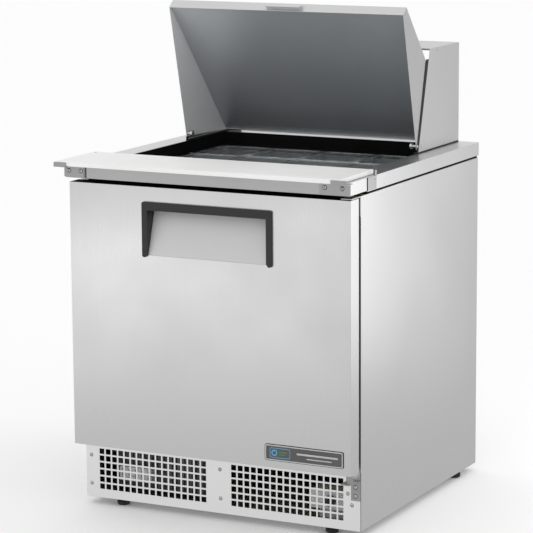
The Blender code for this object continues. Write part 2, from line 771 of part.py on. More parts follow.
def worktop(parent):
    half, low, gap = TOP_HALF, WORKTOP_LOW, OPENING_HALF
    top = build(
        "worktop", parent, STEEL, (add_block, (-half, WORKTOP_FRONT, low), (half, WORKTOP_BACK, WORKTOP_TOP))
    )
    cut(
        top,
        (
            add_block,
            (-half + SHEET, WORKTOP_FRONT + SHEET, low - 0.01),
            (half - SHEET, WORKTOP_BACK - SHEET, WORKTOP_TOP - SHEET),
        ),
    )
    return cut(top, (add_block, (-gap, OPENING_FRONT, low), (gap, OPENING_BACK, WORKTOP_TOP + 0.01)))


def rail_liner(parent):
    """Black frame under the worktop: a flange on the cabinet, a ledge for the pans, rims up the opening."""
    side, front, back = INSIDE - FIT, WORKTOP_FRONT + SHEET + FIT, BACK_INSIDE - FIT
    liner = build(
        "rail_liner", parent, BLACK, (add_block, (-side, front, LEDGE_LOW), (side, back, LEDGE_TOP))
    )
    rim, seat = OPENING_HALF - FIT, 0.001
    join(
        liner,
        (
            add_block,
            (-rim, OPENING_FRONT + FIT, LEDGE_TOP - seat),
            (rim, OPENING_BACK - FIT, WORKTOP_TOP - SHEET / 2),
        ),
    )
    inner = rim - RIM_WALL
    cut(
        liner,
        (
            add_block,
            (-inner, OPENING_FRONT + FIT + RIM_WALL, LEDGE_TOP),
            (inner, OPENING_BACK - FIT - RIM_WALL, WORKTOP_TOP + 0.01),
        ),
    )
    return cut(
        liner,
        (
            add_block,
            (-LEDGE_HALF, PANS_FRONT + RIM_SEAT, LEDGE_TOP - 0.02),
            (LEDGE_HALF, PANS_BACK - RIM_SEAT, LEDGE_TOP + 0.02),
        ),
    )


def divider_bar(name, row, parent):
    """A bar between two rows of pans, hung by its ends on the ledge."""
    middle = PANS_FRONT + row * PAN_PITCH_Y - PAN_GAP_Y / 2
    low, high = middle - BAR_WIDTH / 2, middle + BAR_WIDTH / 2
    short, shoulder, tab = PANS_HALF + 0.001, LEDGE_HALF - FIT, LEDGE_HALF + BAR_TAB
    top = LEDGE_TOP + FIT + SHEET
    outline = [
        (-shoulder, LEDGE_TOP - BAR_HEIGHT),
        (shoulder, LEDGE_TOP - BAR_HEIGHT),
        (shoulder, LEDGE_TOP + FIT),
        (tab, LEDGE_TOP + FIT),
        (tab, top),
        (short, top),
        (short, LEDGE_TOP),
        (-short, LEDGE_TOP),
        (-short, top),
        (-tab, top),
        (-tab, LEDGE_TOP + FIT),
        (-shoulder, LEDGE_TOP + FIT),
    ]
    outline = [(z, x) for x, z in outline]
    return build(name, parent, STEEL, (add_prism, outline, 1, low, high))


def rounded_rectangle(length, width, radius, height, steps=3):
    """Corner arcs of a rectangle about the origin, as a closed loop at one height."""
    loop = []
    for quarter, (sx, sy) in enumerate(((1, 1), (-1, 1), (-1, -1), (1, -1))):
        cx, cy = sx * (width / 2 - radius), sy * (length / 2 - radius)
        for step in range(steps + 1):
            angle = (quarter + step / steps) * pi / 2
            loop.append((cx + radius * cos(angle), cy + radius * sin(angle), height))
    return loop


def add_loft(bm, loops):
    """Skin over loops of equal count, capped at both ends."""
    rings = [[bm.verts.new(p) for p in loop] for loop in loops]
    count = len(rings[0])
    faces = [bm.faces.new(rings[0][::-1]), bm.faces.new(rings[-1])]
    for a, b in zip(rings, rings[1:]):
        for i in range(count):
            j = (i + 1) % count
            faces.append(bm.faces.new((a[i], a[j], b[j], b[i])))
    bmesh.ops.recalc_face_normals(bm, faces=faces)


def pan_loops():
    """Outside up to the rim, over it and down the inside."""
    body_l, body_w = PAN_LENGTH - 2 * PAN_RIM, PAN_WIDTH - 2 * PAN_RIM
    foot_l, foot_w = body_l - 2 * PAN_DRAFT, body_w - 2 * PAN_DRAFT
    under, top = 0, PAN_RIM_THICK
    base = -PAN_DEPTH + PAN_RIM_THICK
    wall = 2 * PAN_WALL
    corner = PAN_CORNER
    return [
        rounded_rectangle(foot_l, foot_w, corner, base),
        rounded_rectangle(body_l, body_w, corner, under),
        rounded_rectangle(PAN_LENGTH, PAN_WIDTH, corner * 0.6, under),
        rounded_rectangle(PAN_LENGTH, PAN_WIDTH, corner * 0.6, top),
        rounded_rectangle(body_l - wall, body_w - wall, corner - PAN_WALL, top),
        rounded_rectangle(foot_l - wall, foot_w - wall, corner - PAN_WALL, base + PAN_WALL),
    ]


def pan(column, row, parent):
    x = (column - (PAN_COLUMNS - 1) / 2) * PAN_PITCH_X
    y = PANS_FRONT + PAN_LENGTH / 2 + row * PAN_PITCH_Y
    name = f"pan_{row * PAN_COLUMNS + column + 1:02d}"
    made = smooth(build(name, parent, POLYCARBONATE, (add_loft, pan_loops())))
    made.location = (x, y, RIM_UNDER)
    return made


def board_support(parent):
    """Channel in front of the worktop that the cutting board overhangs, closed at both ends."""
    front, back = RAIL_FRONT, WORKTOP_FRONT - FIT
    top, low, lip = WORKTOP_TOP, WORKTOP_TOP - RAIL_DROP, 0.012
    outline = [
        (front, low),
        (front, top),
        (back, top),
        (back, low),
        (back - SHEET, low),
        (back - SHEET, top - SHEET),
        (front + SHEET, top - SHEET),
        (front + SHEET, low + SHEET),
        (front + lip, low + SHEET),
        (front + lip, low),
    ]
    rail = build("board_support", parent, STEEL, (add_prism, outline, 0, -TOP_HALF, TOP_HALF))
    for side in (-1, 1):
        near, far = sorted((side * (TOP_HALF - SHEET), side * TOP_HALF))
        join(rail, (add_block, (near, front, low), (far, back, top)))
    return rail


def board_bracket(name, ends, lip_ends, parent):
    """Plate on the rail's face, a shelf out under the board and a turned-up lip in front of it."""
    face = RAIL_FRONT - FIT
    plate_front = face - BRACKET_THICK
    shelf_top = WORKTOP_TOP - FIT
    shelf_low = shelf_top - BRACKET_THICK
    low = WORKTOP_TOP - RAIL_DROP + 0.002
    bracket = build(name, parent, STEEL, (add_block, (ends[0], plate_front, low), (ends[1], face, shelf_top)))
    left, right = lip_ends
    shelf = (add_block, (left, LIP_FRONT, shelf_low), (right, face - FIT, shelf_top))
    lip = (
        add_block, (left, LIP_FRONT, shelf_low), (right, LIP_FRONT + BRACKET_THICK, shelf_top + LIP_HEIGHT)
    )
    return join(bracket, shelf, lip)


def cutting_board(parent):
    left, right, low = BOARD_SHIFT - BOARD_HALF, BOARD_SHIFT + BOARD_HALF, WORKTOP_TOP + FIT
    board = (add_block, (left, BOARD_FRONT, low), (right, BOARD_BACK, low + BOARD_THICK))
    return soften(build("cutting_board", parent, BOARD, board), 0.0015)


# ---------------------------------------------------------------- hood and lid


def hood_edge(z):
    """Y of the hood's leaning front edge at a height."""
    return HOOD_FRONT + (z - HOOD_BOTTOM) * tan(HOOD_LEAN)


def hood(parent):
    """Folded sheet with a leaning front edge, open in front and, inside a folded return, at the back."""
    outline = [
        (HOOD_FRONT, HOOD_BOTTOM),
        (HOOD_BACK, HOOD_BOTTOM),
        (HOOD_BACK, HOOD_TOP),
        (hood_edge(HOOD_TOP), HOOD_TOP),
    ]
    shell = build("hood", parent, STEEL, (add_prism, outline, 0, -HOOD_HALF, HOOD_HALF))
    half, front, low, high = HOOD_HALF - SHEET, HOOD_FRONT - 0.05, HOOD_BOTTOM - 0.01, HOOD_TOP - SHEET
    cut(shell, (add_block, (-half, front, low), (half, HOOD_BACK - SHEET, high)))
    half, high = half - HOOD_RETURN, high - HOOD_RETURN
    return cut(shell, (add_block, (-half, front, low), (half, HOOD_BACK + 0.01, high)))


def hood_seal(parent):
    """Black strip under the hood's foot and up its two leaning front edges, to the open lid's skirts."""
    low, high = WORKTOP_TOP + FIT, HOOD_BOTTOM - FIT
    inner, side = HOOD_HALF - SEAL_WIDTH, HOOD_HALF - SEAL_THICK
    start = hood_edge(low) - SEAL_LOW
    seal = build(
        "hood_seal", parent, RUBBER, (add_block, (-HOOD_HALF, start, low), (HOOD_HALF, HOOD_BACK, high))
    )
    cut(seal, (add_block, (-inner, start - 0.01, low - 0.01), (inner, HOOD_BACK - SEAL_WIDTH, high + 0.01)))
    behind = HOOD_FRONT - FIT
    outline = [
        (start, low),
        (behind, low),
        (behind, HOOD_BOTTOM),
        (hood_edge(SEAL_TOP) - FIT, SEAL_TOP),
        (hood_edge(SEAL_TOP) - SEAL_HIGH, SEAL_TOP),
    ]
    for sign in (-1, 1):
        near, far = sorted((sign * side, sign * HOOD_HALF))
        join(seal, (add_prism, outline, 0, near, far))
    return cut(seal, (add_cylinder, (0, PIVOT_Y, PIVOT_Z), 0, PIVOT_RADIUS + FIT, 2 * HOOD_HALF + 0.1, 24))


def lid_pivot(name, side, parent):
    """Bolt through the seal's strip and the lid's skirt, flush outside and with a knob inside."""
    outside, inside = HOOD_HALF, LID_HALF - PIVOT_REACH
    centre = side * (outside + inside) / 2
    shank = (add_cylinder, (centre, PIVOT_Y, PIVOT_Z), 0, PIVOT_RADIUS, outside - inside, 24)
    knob = (add_cylinder, (side * (inside + PIVOT_KNOB / 2), PIVOT_Y, PIVOT_Z), 0, PIVOT_HEAD, PIVOT_KNOB, 24)
    return smooth(join(build(name, parent, STEEL, shank), knob))


def on_lid(points):
    """Side view of the closed lid from its pivot: along its slope from the front end, and out of it."""
    run, rise = cos(LID_SLOPE), sin(LID_SLOPE)
    return [(LID_FRONT_Y + a * run - b * rise, LID_FRONT_Z + a * rise + b * run) for a, b in points]


def lid_shell(parent):
    """Outer skin with side skirts, a front lip and a rear end, open towards the pans."""
    ahead, drop = -LID_LIP_AHEAD, -LID_LIP_DROP
    outline = on_lid([(ahead, drop), (ahead, LID_THICK), (LID_LENGTH, LID_THICK), (LID_LENGTH, -0.002)])
    outline.append((LID_HEEL, -LID_HEEL_DROP))
    shell = build("lid_shell", parent, STEEL, (add_prism, outline, 0, -LID_HALF, LID_HALF))
    inside = LID_HALF - SHEET
    hollow = [
        (ahead + SHEET, drop - 0.30),
        (ahead + SHEET, LID_THICK - SHEET),
        (LID_LENGTH - SHEET, LID_THICK - SHEET),
        (LID_LENGTH - SHEET, drop - 0.30),
    ]
    cut(shell, (add_prism, on_lid(hollow), 0, -inside, inside))
    return cut(shell, (add_cylinder, (0, 0, 0), 0, PIVOT_RADIUS + PIVOT_PLAY, 2 * LID_HALF + 0.1, 24))


def lid_liner(parent):
    """Insulated inner panel of the lid."""
    inside = LID_HALF - SHEET - FIT
    start, end = -LID_LIP_AHEAD + SHEET + FIT, LID_LENGTH - SHEET - FIT
    outline = [(start, 0), (end, 0), (end, LID_THICK - SHEET - FIT), (start, LID_THICK - SHEET - FIT)]
    return build("lid_liner", parent, DARK_STEEL, (add_prism, on_lid(outline), 0, -inside, inside))


def lid_handle(parent):
    """A folded grip on the lid's lip."""
    half = LID_HANDLE_WIDTH / 2
    foot = -LID_LIP_AHEAD - FIT
    reach = foot - LID_HANDLE_REACH
    outline = [
        (foot, 0.000),
        (foot, 0.014),
        (foot - 0.002, 0.014),
        (foot - 0.002, 0.004),
        (reach, 0.004),
        (reach, -0.006),
        (reach + 0.002, -0.006),
        (reach + 0.002, 0.002),
        (foot - 0.002, 0.002),
        (foot - 0.002, 0.000),
    ]
    return build("lid_handle", parent, STEEL, (add_prism, on_lid(outline), 0, -half, half))


# ---------------------------------------------------------------- door


def on_door(x, y, z):
    """A point seen from the door's hinge axis."""
    return x - HINGE_X, y - HINGE_Y, z


def door_block(low, high):
    return add_block, on_door(*low), on_door(*high)


def seen_from_hinge(points):
    """Side view points, from the hinge axis."""
    return [(y - HINGE_Y, z) for y, z in points]


def pocket_outline(grow):
    """Side view of the finger pocket's room in the foam: sloping floor and flat roof."""
    front, top = DOOR_FRONT - 0.01, POCKET_ROOF + POCKET_WALL + grow
    points = [
        (front, POCKET_FOOT - grow),
        (DOOR_FRONT + SHEET, POCKET_FOOT - grow),
        (POCKET_BACK + grow, POCKET_ROOF - grow),
        (POCKET_BACK + grow, top),
        (front, top),
    ]
    return seen_from_hinge(points)


def door_skin(parent):
    half, back = DOOR_HALF, DOOR_BACK - FIT
    skin = build(
        "door_skin", parent, STEEL, door_block((-half, DOOR_FRONT, DOOR_BOTTOM), (half, back, DOOR_TOP))
    )
    low = (SHEET - half, DOOR_FRONT + SHEET, DOOR_BOTTOM + SHEET)
    cut(skin, door_block(low, (half - SHEET, back + 0.01, DOOR_TOP - SHEET)))
    gap, roof = POCKET_HALF + FIT, POCKET_ROOF + POCKET_WALL + FIT
    cut(skin, door_block((-gap, DOOR_FRONT - 0.01, POCKET_FOOT - FIT), (gap, DOOR_FRONT + 0.01, roof)))
    middle, height = (DOOR_BOTTOM + DOOR_TOP) / 2, DOOR_TOP - DOOR_BOTTOM + 0.01
    return cut(skin, (add_cylinder, (0, 0, middle), 2, HINGE_HOLE, height, 24))


def door_foam(parent):
    half = DOOR_HALF - SHEET - FIT
    front, back = DOOR_FRONT + SHEET + FIT, DOOR_BACK - DOOR_LINER - 2 * FIT
    low, high = DOOR_BOTTOM + SHEET + FIT, DOOR_TOP - SHEET - FIT
    foam = build("door_foam", parent, FOAM, door_block((-half, front, low), (half, back, high)))
    gap = POCKET_HALF + FIT
    cut(foam, (add_prism, pocket_outline(SHEET + 2 * FIT), 0, -gap - HINGE_X, gap - HINGE_X))
    return cut(foam, (add_cylinder, (0, 0, (low + high) / 2), 2, HINGE_HOLE, high - low + 0.01, 24))


def door_liner(parent):
    half, back = DOOR_HALF - SHEET - FIT, DOOR_BACK - FIT
    low, high = DOOR_BOTTOM + SHEET + FIT, DOOR_TOP - SHEET - FIT
    return build(
        "door_liner", parent, ALUMINIUM, door_block((-half, back - DOOR_LINER, low), (half, back, high))
    )


def door_gasket(parent):
    half, low, high = HINGE_X, DOOR_BOTTOM + GASKET_EDGE, DOOR_TOP - GASKET_EDGE
    gasket = build("door_gasket", parent, RUBBER, door_block((-half, DOOR_BACK, low), (half, -FIT, high)))
    inner = half - GASKET_WIDTH
    low, high = (-inner, DOOR_BACK - 0.01, low + GASKET_WIDTH), (inner, 0.01, high - GASKET_WIDTH)
    return cut(gasket, door_block(low, high))


def door_handle(parent):
    """Three-sided frame on the skin, with the pocket's roof and cheeks behind it."""
    half, face = HANDLE_WIDTH / 2, DOOR_FRONT - FIT
    front, middle = face - HANDLE_PROUD, face - HANDLE_PROUD / 2
    handle = build(
        "door_handle", parent, BLACK, door_block((-half, front, HANDLE_BOTTOM), (half, face, HANDLE_TOP))
    )
    low, high = (-POCKET_HALF, face - 0.02, HANDLE_BOTTOM - 0.01), (POCKET_HALF, face + 0.02, POCKET_ROOF)
    cut(handle, door_block(low, high))
    roof = door_block(
        (-POCKET_HALF, middle, POCKET_ROOF - 0.0001), (POCKET_HALF, POCKET_BACK, POCKET_ROOF + POCKET_WALL)
    )
    join(handle, roof)
    bite = POCKET_ROOF + POCKET_WALL / 2
    cheek = seen_from_hinge(
        [(middle, POCKET_FOOT), (DOOR_FRONT, POCKET_FOOT), (POCKET_BACK, bite), (middle, bite)]
    )
    for side in (-1, 1):
        near, far = sorted((side * (POCKET_HALF - POCKET_WALL), side * POCKET_HALF))
        join(handle, (add_prism, cheek, 0, near - HINGE_X, far - HINGE_X))
        near, far = sorted((side * (POCKET_HALF - POCKET_WALL), side * (POCKET_HALF + 0.002)))
        join(handle, door_block((near, front, POCKET_FOOT), (far, face - FIT, POCKET_ROOF + 0.002)))
    return handle


def handle_pocket(parent):
    """Sloping steel floor of the finger pocket, flush with the skin below."""
    half = POCKET_HALF - POCKET_WALL - FIT
    front, roof = DOOR_FRONT + FIT, POCKET_ROOF - FIT
    outline = [
        (front, POCKET_FOOT), (front + SHEET, POCKET_FOOT), (POCKET_BACK, roof), (POCKET_BACK - SHEET, roof)
    ]
    shape = (add_prism, seen_from_hinge(outline), 0, -half - HINGE_X, half - HINGE_X)
    return build("handle_pocket", parent, STEEL, shape)


def badge(parent):
    front, right, low = DOOR_FRONT - FIT, DOOR_HALF - BADGE_IN, DOOR_BOTTOM + BADGE_RISE
    shape = door_block((right - BADGE_WIDTH, front - BADGE_THICK, low), (right, front, low + BADGE_HEIGHT))
    return build("badge", parent, PLATE_LOOK, shape)


def hinge_low(parent):
    """Plate on the kick panel, an arm under the door and the pin the door stands on."""
    face, right, arm = -2 * FIT - SHEET, HALF - FIT, KICK_HEIGHT - HINGE_ARM_DROP
    left = right - HINGE_ARM_WIDTH
    plate = (add_block, (left, face - PLATE, arm - HINGE_LOW_PLATE), (right, face, arm))
    hinge = build("hinge_low", parent, GALVANISED, plate)
    join(hinge, (add_block, (left - 0.006, face - HINGE_ARM_REACH, arm - PLATE), (right - 0.006, face, arm)))
    start, collar, tip = arm - 0.001, DOOR_BOTTOM - FIT, DOOR_BOTTOM + HINGE_GRIP
    join(
        hinge,
        (add_cylinder, (HINGE_X, HINGE_Y, (start + collar) / 2), 2, 2 * HINGE_PIN, collar - start, 24),
    )
    return join(hinge, (add_cylinder, (HINGE_X, HINGE_Y, (start + tip) / 2), 2, HINGE_PIN, tip - start, 24))


def hinge_high(parent):
    """Plate beside the gasket, an arm over the door and a pin down into it."""
    left, right, low = HINGE_X + 0.0015, HALF - FIT, DOOR_TOP + 0.0012
    high = low + PLATE
    plate = (add_block, (left, -FIT - PLATE, DOOR_TOP - HINGE_HIGH_PLATE), (right, -FIT, high))
    hinge = build("hinge_high", parent, GALVANISED, plate)
    join(hinge, (add_block, (right - HINGE_ARM_WIDTH - 0.004, -HINGE_ARM_REACH, low), (right, -FIT, high)))
    start, tip = high - 0.001, DOOR_TOP - HINGE_GRIP
    return join(hinge, (add_cylinder, (HINGE_X, HINGE_Y, (start + tip) / 2), 2, HINGE_PIN, start - tip, 24))


def wire_shelf(parent):
    """A grid of flat bars across the cold space."""
    half = LINER_HALF - LINER - SHELF_CLEAR
    low, high = SHELF_LEVEL, SHELF_LEVEL + SHELF_WIRE
    shelf = build(
        "wire_shelf", parent, WIRE, (add_block, (-half, SHELF_FRONT, low), (half, SHELF_BACK, high))
    )
    columns = int((2 * half - SHELF_WIRE) / (SHELF_SLOT + SHELF_WIRE))
    pitch = (2 * half - SHELF_WIRE) / columns
    bands = 3
    depth = (SHELF_BACK - SHELF_FRONT - SHELF_WIRE) / bands
    slots = []
    for band in range(bands):
        near = SHELF_FRONT + SHELF_WIRE + band * depth
        for column in range(columns):
            left = -half + SHELF_WIRE + column * pitch
            slots.append(
                (
                    add_block,
                    (left, near, low - 0.01),
                    (left + pitch - SHELF_WIRE, near + depth - SHELF_WIRE, high + 0.01),
                )
            )
    return cut(shelf, *slots)


# ---------------------------------------------------------------- assembly


def main():
    clear_scene()
    cabinet = empty("cabinet_origin", None, (0, -CENTRE_Y, FOOT_HEIGHT))

    side_panel("side_panel_left", -1, cabinet)
    side_panel("side_panel_right", 1, cabinet)
    back_panel(cabinet)
    cabinet_liner(cabinet)
    cabinet_foam(cabinet)
    door_frame(cabinet)
    base_tray(cabinet)
    front_grille(cabinet)
    for side_name, side in (("left", -1), ("right", 1)):
        foot(f"foot_front_{side_name}", side * (HALF - FOOT_FRONT_IN), FOOT_FRONT_Y, cabinet)
        foot(f"foot_rear_{side_name}", side * (HALF - FOOT_REAR_IN), CABINET_DEPTH - FOOT_REAR_AHEAD, cabinet)

    compressor(cabinet)
    half = COIL_WIDTH / 2
    low, high = (COIL_X - half, COIL_Y, COIL_BOTTOM), (COIL_X + half, COIL_Y + COIL_DEPTH, COIL_TOP)
    finned_coil("condenser_coil", low, high, COIL_PITCH, COIL_FIN, cabinet)
    fan_shroud(cabinet)
    fan("condenser_fan", (COIL_X, SHROUD_Y + FAN_BACK, FAN_Z), cabinet)
    half, back = EVAPORATOR_HALF - 0.012, EVAPORATOR_BACK - FIT
    low, high = (-half, back - 0.056, EVAPORATOR_BOTTOM + 0.006), (half, back, EVAPORATOR_TOP - 0.008)
    finned_coil("evaporator_coil", low, high, FIN_PITCH, FIN_THICK, cabinet)
    evaporator_housing(cabinet)
    fan("evaporator_fan", (0, EVAPORATOR_FRONT + EVAPORATOR_WALL + FAN_BACK, EVAPORATOR_Z), cabinet)
    suction_line(cabinet)
    control_box(cabinet)
    thermostat_knob(cabinet)
    power_inlet(cabinet)

    worktop(cabinet)
    rail_liner(cabinet)
    divider_bar("divider_bar_front", 1, cabinet)
    divider_bar("divider_bar_rear", 2, cabinet)
    for row in range(PAN_ROWS):
        for column in range(PAN_COLUMNS):
            pan(column, row, cabinet)
    board_support(cabinet)
    outer = -TOP_HALF - LIP_OUT_LEFT
    lip = (outer, outer + LIP_WIDTH_LEFT)
    board_bracket("board_bracket_left", (-BRACKET_END, -BRACKET_END + BRACKET_LEFT), lip, cabinet)
    outer = TOP_HALF + LIP_OUT_RIGHT
    lip = (outer - LIP_WIDTH_RIGHT, outer)
    board_bracket("board_bracket_right", (BRACKET_END - BRACKET_RIGHT, BRACKET_END), lip, cabinet)
    cutting_board(cabinet)

    hood(cabinet)
    hood_seal(cabinet)
    lid_pivot("lid_pivot_left", -1, cabinet)
    lid_pivot("lid_pivot_right", 1, cabinet)
    lid = empty("lid_axis", cabinet, (0, PIVOT_Y, PIVOT_Z))
    lid.rotation_euler.x = -LID_OPEN
    lid_shell(lid)
    lid_liner(lid)
    lid_handle(lid)

    hinge_low(cabinet)
    hinge_high(cabinet)
    door = empty("door_axis", cabinet, (HINGE_X, HINGE_Y, 0))
    door_skin(door)
    door_foam(door)
    door_liner(door)
    door_gasket(door)
    door_handle(door)
    handle_pocket(door)
    badge(door)
    wire_shelf(cabinet)


main()
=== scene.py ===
"""Sandwich prep table: its finished surfaces, small parts and studio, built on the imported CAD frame."""

import json
from math import cos, pi, radians, sin

import bmesh
import bpy
from mathutils import Matrix, Vector


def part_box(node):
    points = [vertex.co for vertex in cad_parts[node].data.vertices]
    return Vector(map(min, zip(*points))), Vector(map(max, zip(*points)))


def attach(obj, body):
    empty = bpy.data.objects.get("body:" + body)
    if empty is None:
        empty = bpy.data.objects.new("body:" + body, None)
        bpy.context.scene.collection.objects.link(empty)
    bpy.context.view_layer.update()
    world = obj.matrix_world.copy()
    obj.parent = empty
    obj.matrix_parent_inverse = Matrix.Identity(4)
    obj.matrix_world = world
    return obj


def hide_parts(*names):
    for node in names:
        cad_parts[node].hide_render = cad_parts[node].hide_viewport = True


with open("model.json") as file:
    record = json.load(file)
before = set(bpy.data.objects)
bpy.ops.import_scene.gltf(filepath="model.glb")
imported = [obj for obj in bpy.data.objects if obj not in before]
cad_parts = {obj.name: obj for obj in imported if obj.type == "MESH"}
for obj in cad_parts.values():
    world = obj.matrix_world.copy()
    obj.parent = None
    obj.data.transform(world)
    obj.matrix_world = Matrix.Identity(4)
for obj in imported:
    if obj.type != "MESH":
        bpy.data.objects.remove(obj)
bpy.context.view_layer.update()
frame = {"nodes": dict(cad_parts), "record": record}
NODES = frame["nodes"]
SLOT_OF = {s["node"]: s["material_slot"] for s in frame["record"]["subparts"]}
BODY_OF = {n: body for body, names in frame["record"]["behaviour"]["bodies"].items() for n in names}

# Cabinet coordinates: X from the middle, Y back from the side panels' front edges, Z up from the cabinet's
# underside.
FRONT_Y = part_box("side_panel_right")[0].y
UNDER_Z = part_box("side_panel_right")[0].z


def at(x, y, z):
    """A point given in cabinet coordinates, in the row frame."""
    return Vector((x, y + FRONT_Y, z + UNDER_Z))


# ---------------------------------------------------------------- materials

FINE_LINES = 900.0  # a brushed surface's grain, in lines across a metre
COARSE_LINES = 120.0  # and its longer scratches

class Shader:
    """A small node graph round one Principled shader."""

    def __init__(self, name):
        self.material = bpy.data.materials.new(name)
        self.material.use_nodes = True
        self.tree = self.material.node_tree
        self.main = self.tree.nodes["Principled BSDF"]
        self.place = self.add("ShaderNodeTexCoord").outputs["Object"]

    def add(self, kind, **settings):
        node = self.tree.nodes.new(kind)
        for key, value in settings.items():
            setattr(node, key, value)
        return node

    def feed(self, socket, value):
        if isinstance(value, bpy.types.NodeSocket):
            self.tree.links.new(value, socket)
        else:
            socket.default_value = value

    def set(self, **values):
        for key, value in values.items():
            self.feed(self.main.inputs[key.replace("_", " ")], value)

    def stretched(self, scale):
        """Object coordinates scaled on each axis."""
        node = self.add("ShaderNodeMapping")
        self.feed(node.inputs["Vector"], self.place)
        self.feed(node.inputs["Scale"], scale)
        return node.outputs["Vector"]

    def noise(self, scale, detail=3.0, vector=None, roughness=0.5):
        node = self.add("ShaderNodeTexNoise")
        self.feed(node.inputs["Vector"], vector or self.place)
        self.feed(node.inputs["Scale"], scale)
        self.feed(node.inputs["Detail"], detail)
        self.feed(node.inputs["Roughness"], roughness)
        return node.outputs["Fac"]

    def span(self, value, low, high, start=0.0, end=1.0):
        """value from start..end taken to low..high."""
        node = self.add("ShaderNodeMapRange")
        ends = {"Value": value, "From Min": start, "From Max": end, "To Min": low, "To Max": high}
        for key, number in ends.items():
            self.feed(node.inputs[key], number)
        return node.outputs["Result"]

    def math(self, operation, first, second):
        node = self.add("ShaderNodeMath", operation=operation)
        self.feed(node.inputs[0], first)
        self.feed(node.inputs[1], second)
        return node.outputs[0]

    def mix(self, factor, first, second):
        node = self.add("ShaderNodeMix", data_type="RGBA")
        self.feed(node.inputs[0], factor)
        self.feed(node.inputs[6], first)
        self.feed(node.inputs[7], second)
        return node.outputs[2]

    def bump(self, height, strength, distance):
        node = self.add("ShaderNodeBump")
        self.feed(node.inputs["Height"], height)
        self.feed(node.inputs["Strength"], strength)
        self.feed(node.inputs["Distance"], distance)
        self.set(Normal=node.outputs["Normal"])


def grey(value, warm=0.0):
    return (value + warm, value, value - warm, 1.0)


def brushed(name, light, dark, grain, rough=(0.24, 0.36), smudge=2.5, bump=0.03, metallic=1.0):
    """Brushed sheet: fine lines along one axis, soft wiped patches, and sparse longer scratches."""
    s = Shader(name)
    axis = "xyz".index(grain)
    fine = [FINE_LINES] * 3
    fine[axis] = 6.0
    coarse = [COARSE_LINES] * 3
    coarse[axis] = 1.5
    lines = s.noise(1.0, 4.0, s.stretched(fine), 0.65)
    scratch = s.span(s.noise(1.0, 2.0, s.stretched(coarse)), 0.0, 0.25, 0.62, 0.80)
    broad = s.span(s.noise(smudge, 3.0), 0.0, 0.55, 0.3, 0.7)
    tone = s.math("ADD", s.math("MULTIPLY", lines, 0.45), broad)
    worn = s.math("MULTIPLY", scratch, 0.05)
    s.set(
        Base_Color=s.mix(tone, dark, light),
        Metallic=metallic,
        Roughness=s.math("ADD", s.span(tone, rough[1], rough[0], 0.2, 0.9), worn),
    )
    s.bump(lines, bump, 0.0004)
    return s.material


def plastic(name, light, dark, rough, grain=900.0, bump=0.12, coat=0.0, patch=6.0, shine=0.5):
    """Moulded plastic, rubber or enamel: a fine skin texture, faint uneven colour and rubbed patches."""
    s = Shader(name)
    fine = s.noise(grain, 3.0)
    broad = s.span(s.noise(patch, 4.0), 0.0, 1.0, 0.3, 0.7)
    s.set(
        Base_Color=s.mix(s.math("MULTIPLY", broad, s.span(fine, 0.8, 1.2, 0.3, 0.7)), dark, light),
        Roughness=s.span(broad, rough[0], rough[1]),
        Coat_Weight=coat,
        Specular_IOR_Level=shine,
    )
    s.bump(fine, bump, 0.0003)
    return s.material


def clear_plastic():
    """Clear moulded plastic with faint haze and rubbed patches."""
    s = Shader("clear_pan")
    s.set(
        Base_Color=s.mix(s.noise(8.0), (0.93, 0.95, 0.96, 1), (0.86, 0.90, 0.92, 1)),
        Roughness=s.span(s.noise(30.0), 0.05, 0.16, 0.3, 0.7),
        Transmission_Weight=0.92,
        IOR=1.45,
    )
    s.bump(s.noise(60.0), 0.05, 0.0004)
    return s.material


STEEL_X = brushed("steel_grain_x", grey(0.67), grey(0.585), "x")
STEEL_Z = brushed("steel_grain_z", grey(0.67), grey(0.585), "z")
# Painted light: a lighter copy of the steel for the kick plate.
STEEL_KICK_LIT = brushed("steel_kick_plate_painted_light", grey(0.88), grey(0.80), "x", (0.30, 0.42))
# Painted shade: a darker copy of the steel for the hood.
STEEL_HOOD_SHADED = brushed("steel_hood_painted_shade", grey(0.56), grey(0.50), "z", (0.26, 0.38))
STEEL_LID = brushed("steel_lid", grey(0.62), grey(0.56), "z", (0.34, 0.46), metallic=0.45)
# Painted shade: a darker copy of the steel for the board brackets, the lower hinge and the worktop strips.
STEEL_BRACKETS_SHADED = brushed("steel_brackets_painted_shade", grey(0.42), grey(0.32), "x", (0.32, 0.44), 8.0)
# Painted shade: a darker copy of the steel for the rail's front face, under the board's overhang.
STEEL_RAIL_SHADED = brushed("steel_rail_front_painted_shade", grey(0.46), grey(0.40), "x", (0.30, 0.42))
# Painted shade: a darker copy of the lid's steel for its outer side faces.
STEEL_SKIRT_SHADED = brushed("steel_lid_skirt_painted_shade", grey(0.40), grey(0.35), "z", (0.34, 0.46), metallic=0.6)
# Painted light: a much lighter copy of the steel for the lid's inner side faces.
STEEL_INSIDE_LIT = brushed("steel_lid_inside_painted_light", grey(0.88), grey(0.78), "z", (0.40, 0.50), metallic=0.2)
STEEL_MATTE = brushed("steel_pocket", grey(0.62), grey(0.56), "x", (0.55, 0.65), metallic=0.35)
LID_DARK = brushed(
    "lid_inner_dark", (0.57, 0.60, 0.63, 1), (0.45, 0.475, 0.50, 1), "z", (0.34, 0.46), metallic=0.62
)
ZINC = brushed("zinc_sheet", grey(0.62), grey(0.50), "x", (0.38, 0.55), 9.0)
LINER_METAL = brushed("liner_aluminium", grey(0.86), grey(0.76), "z", (0.36, 0.48))
FINS = brushed("coil_fins", grey(0.22), grey(0.10), "z", (0.50, 0.65), 20.0)
COPPER = brushed("copper", (0.85, 0.46, 0.30, 1), (0.62, 0.30, 0.18, 1), "z", (0.25, 0.45), 14.0)
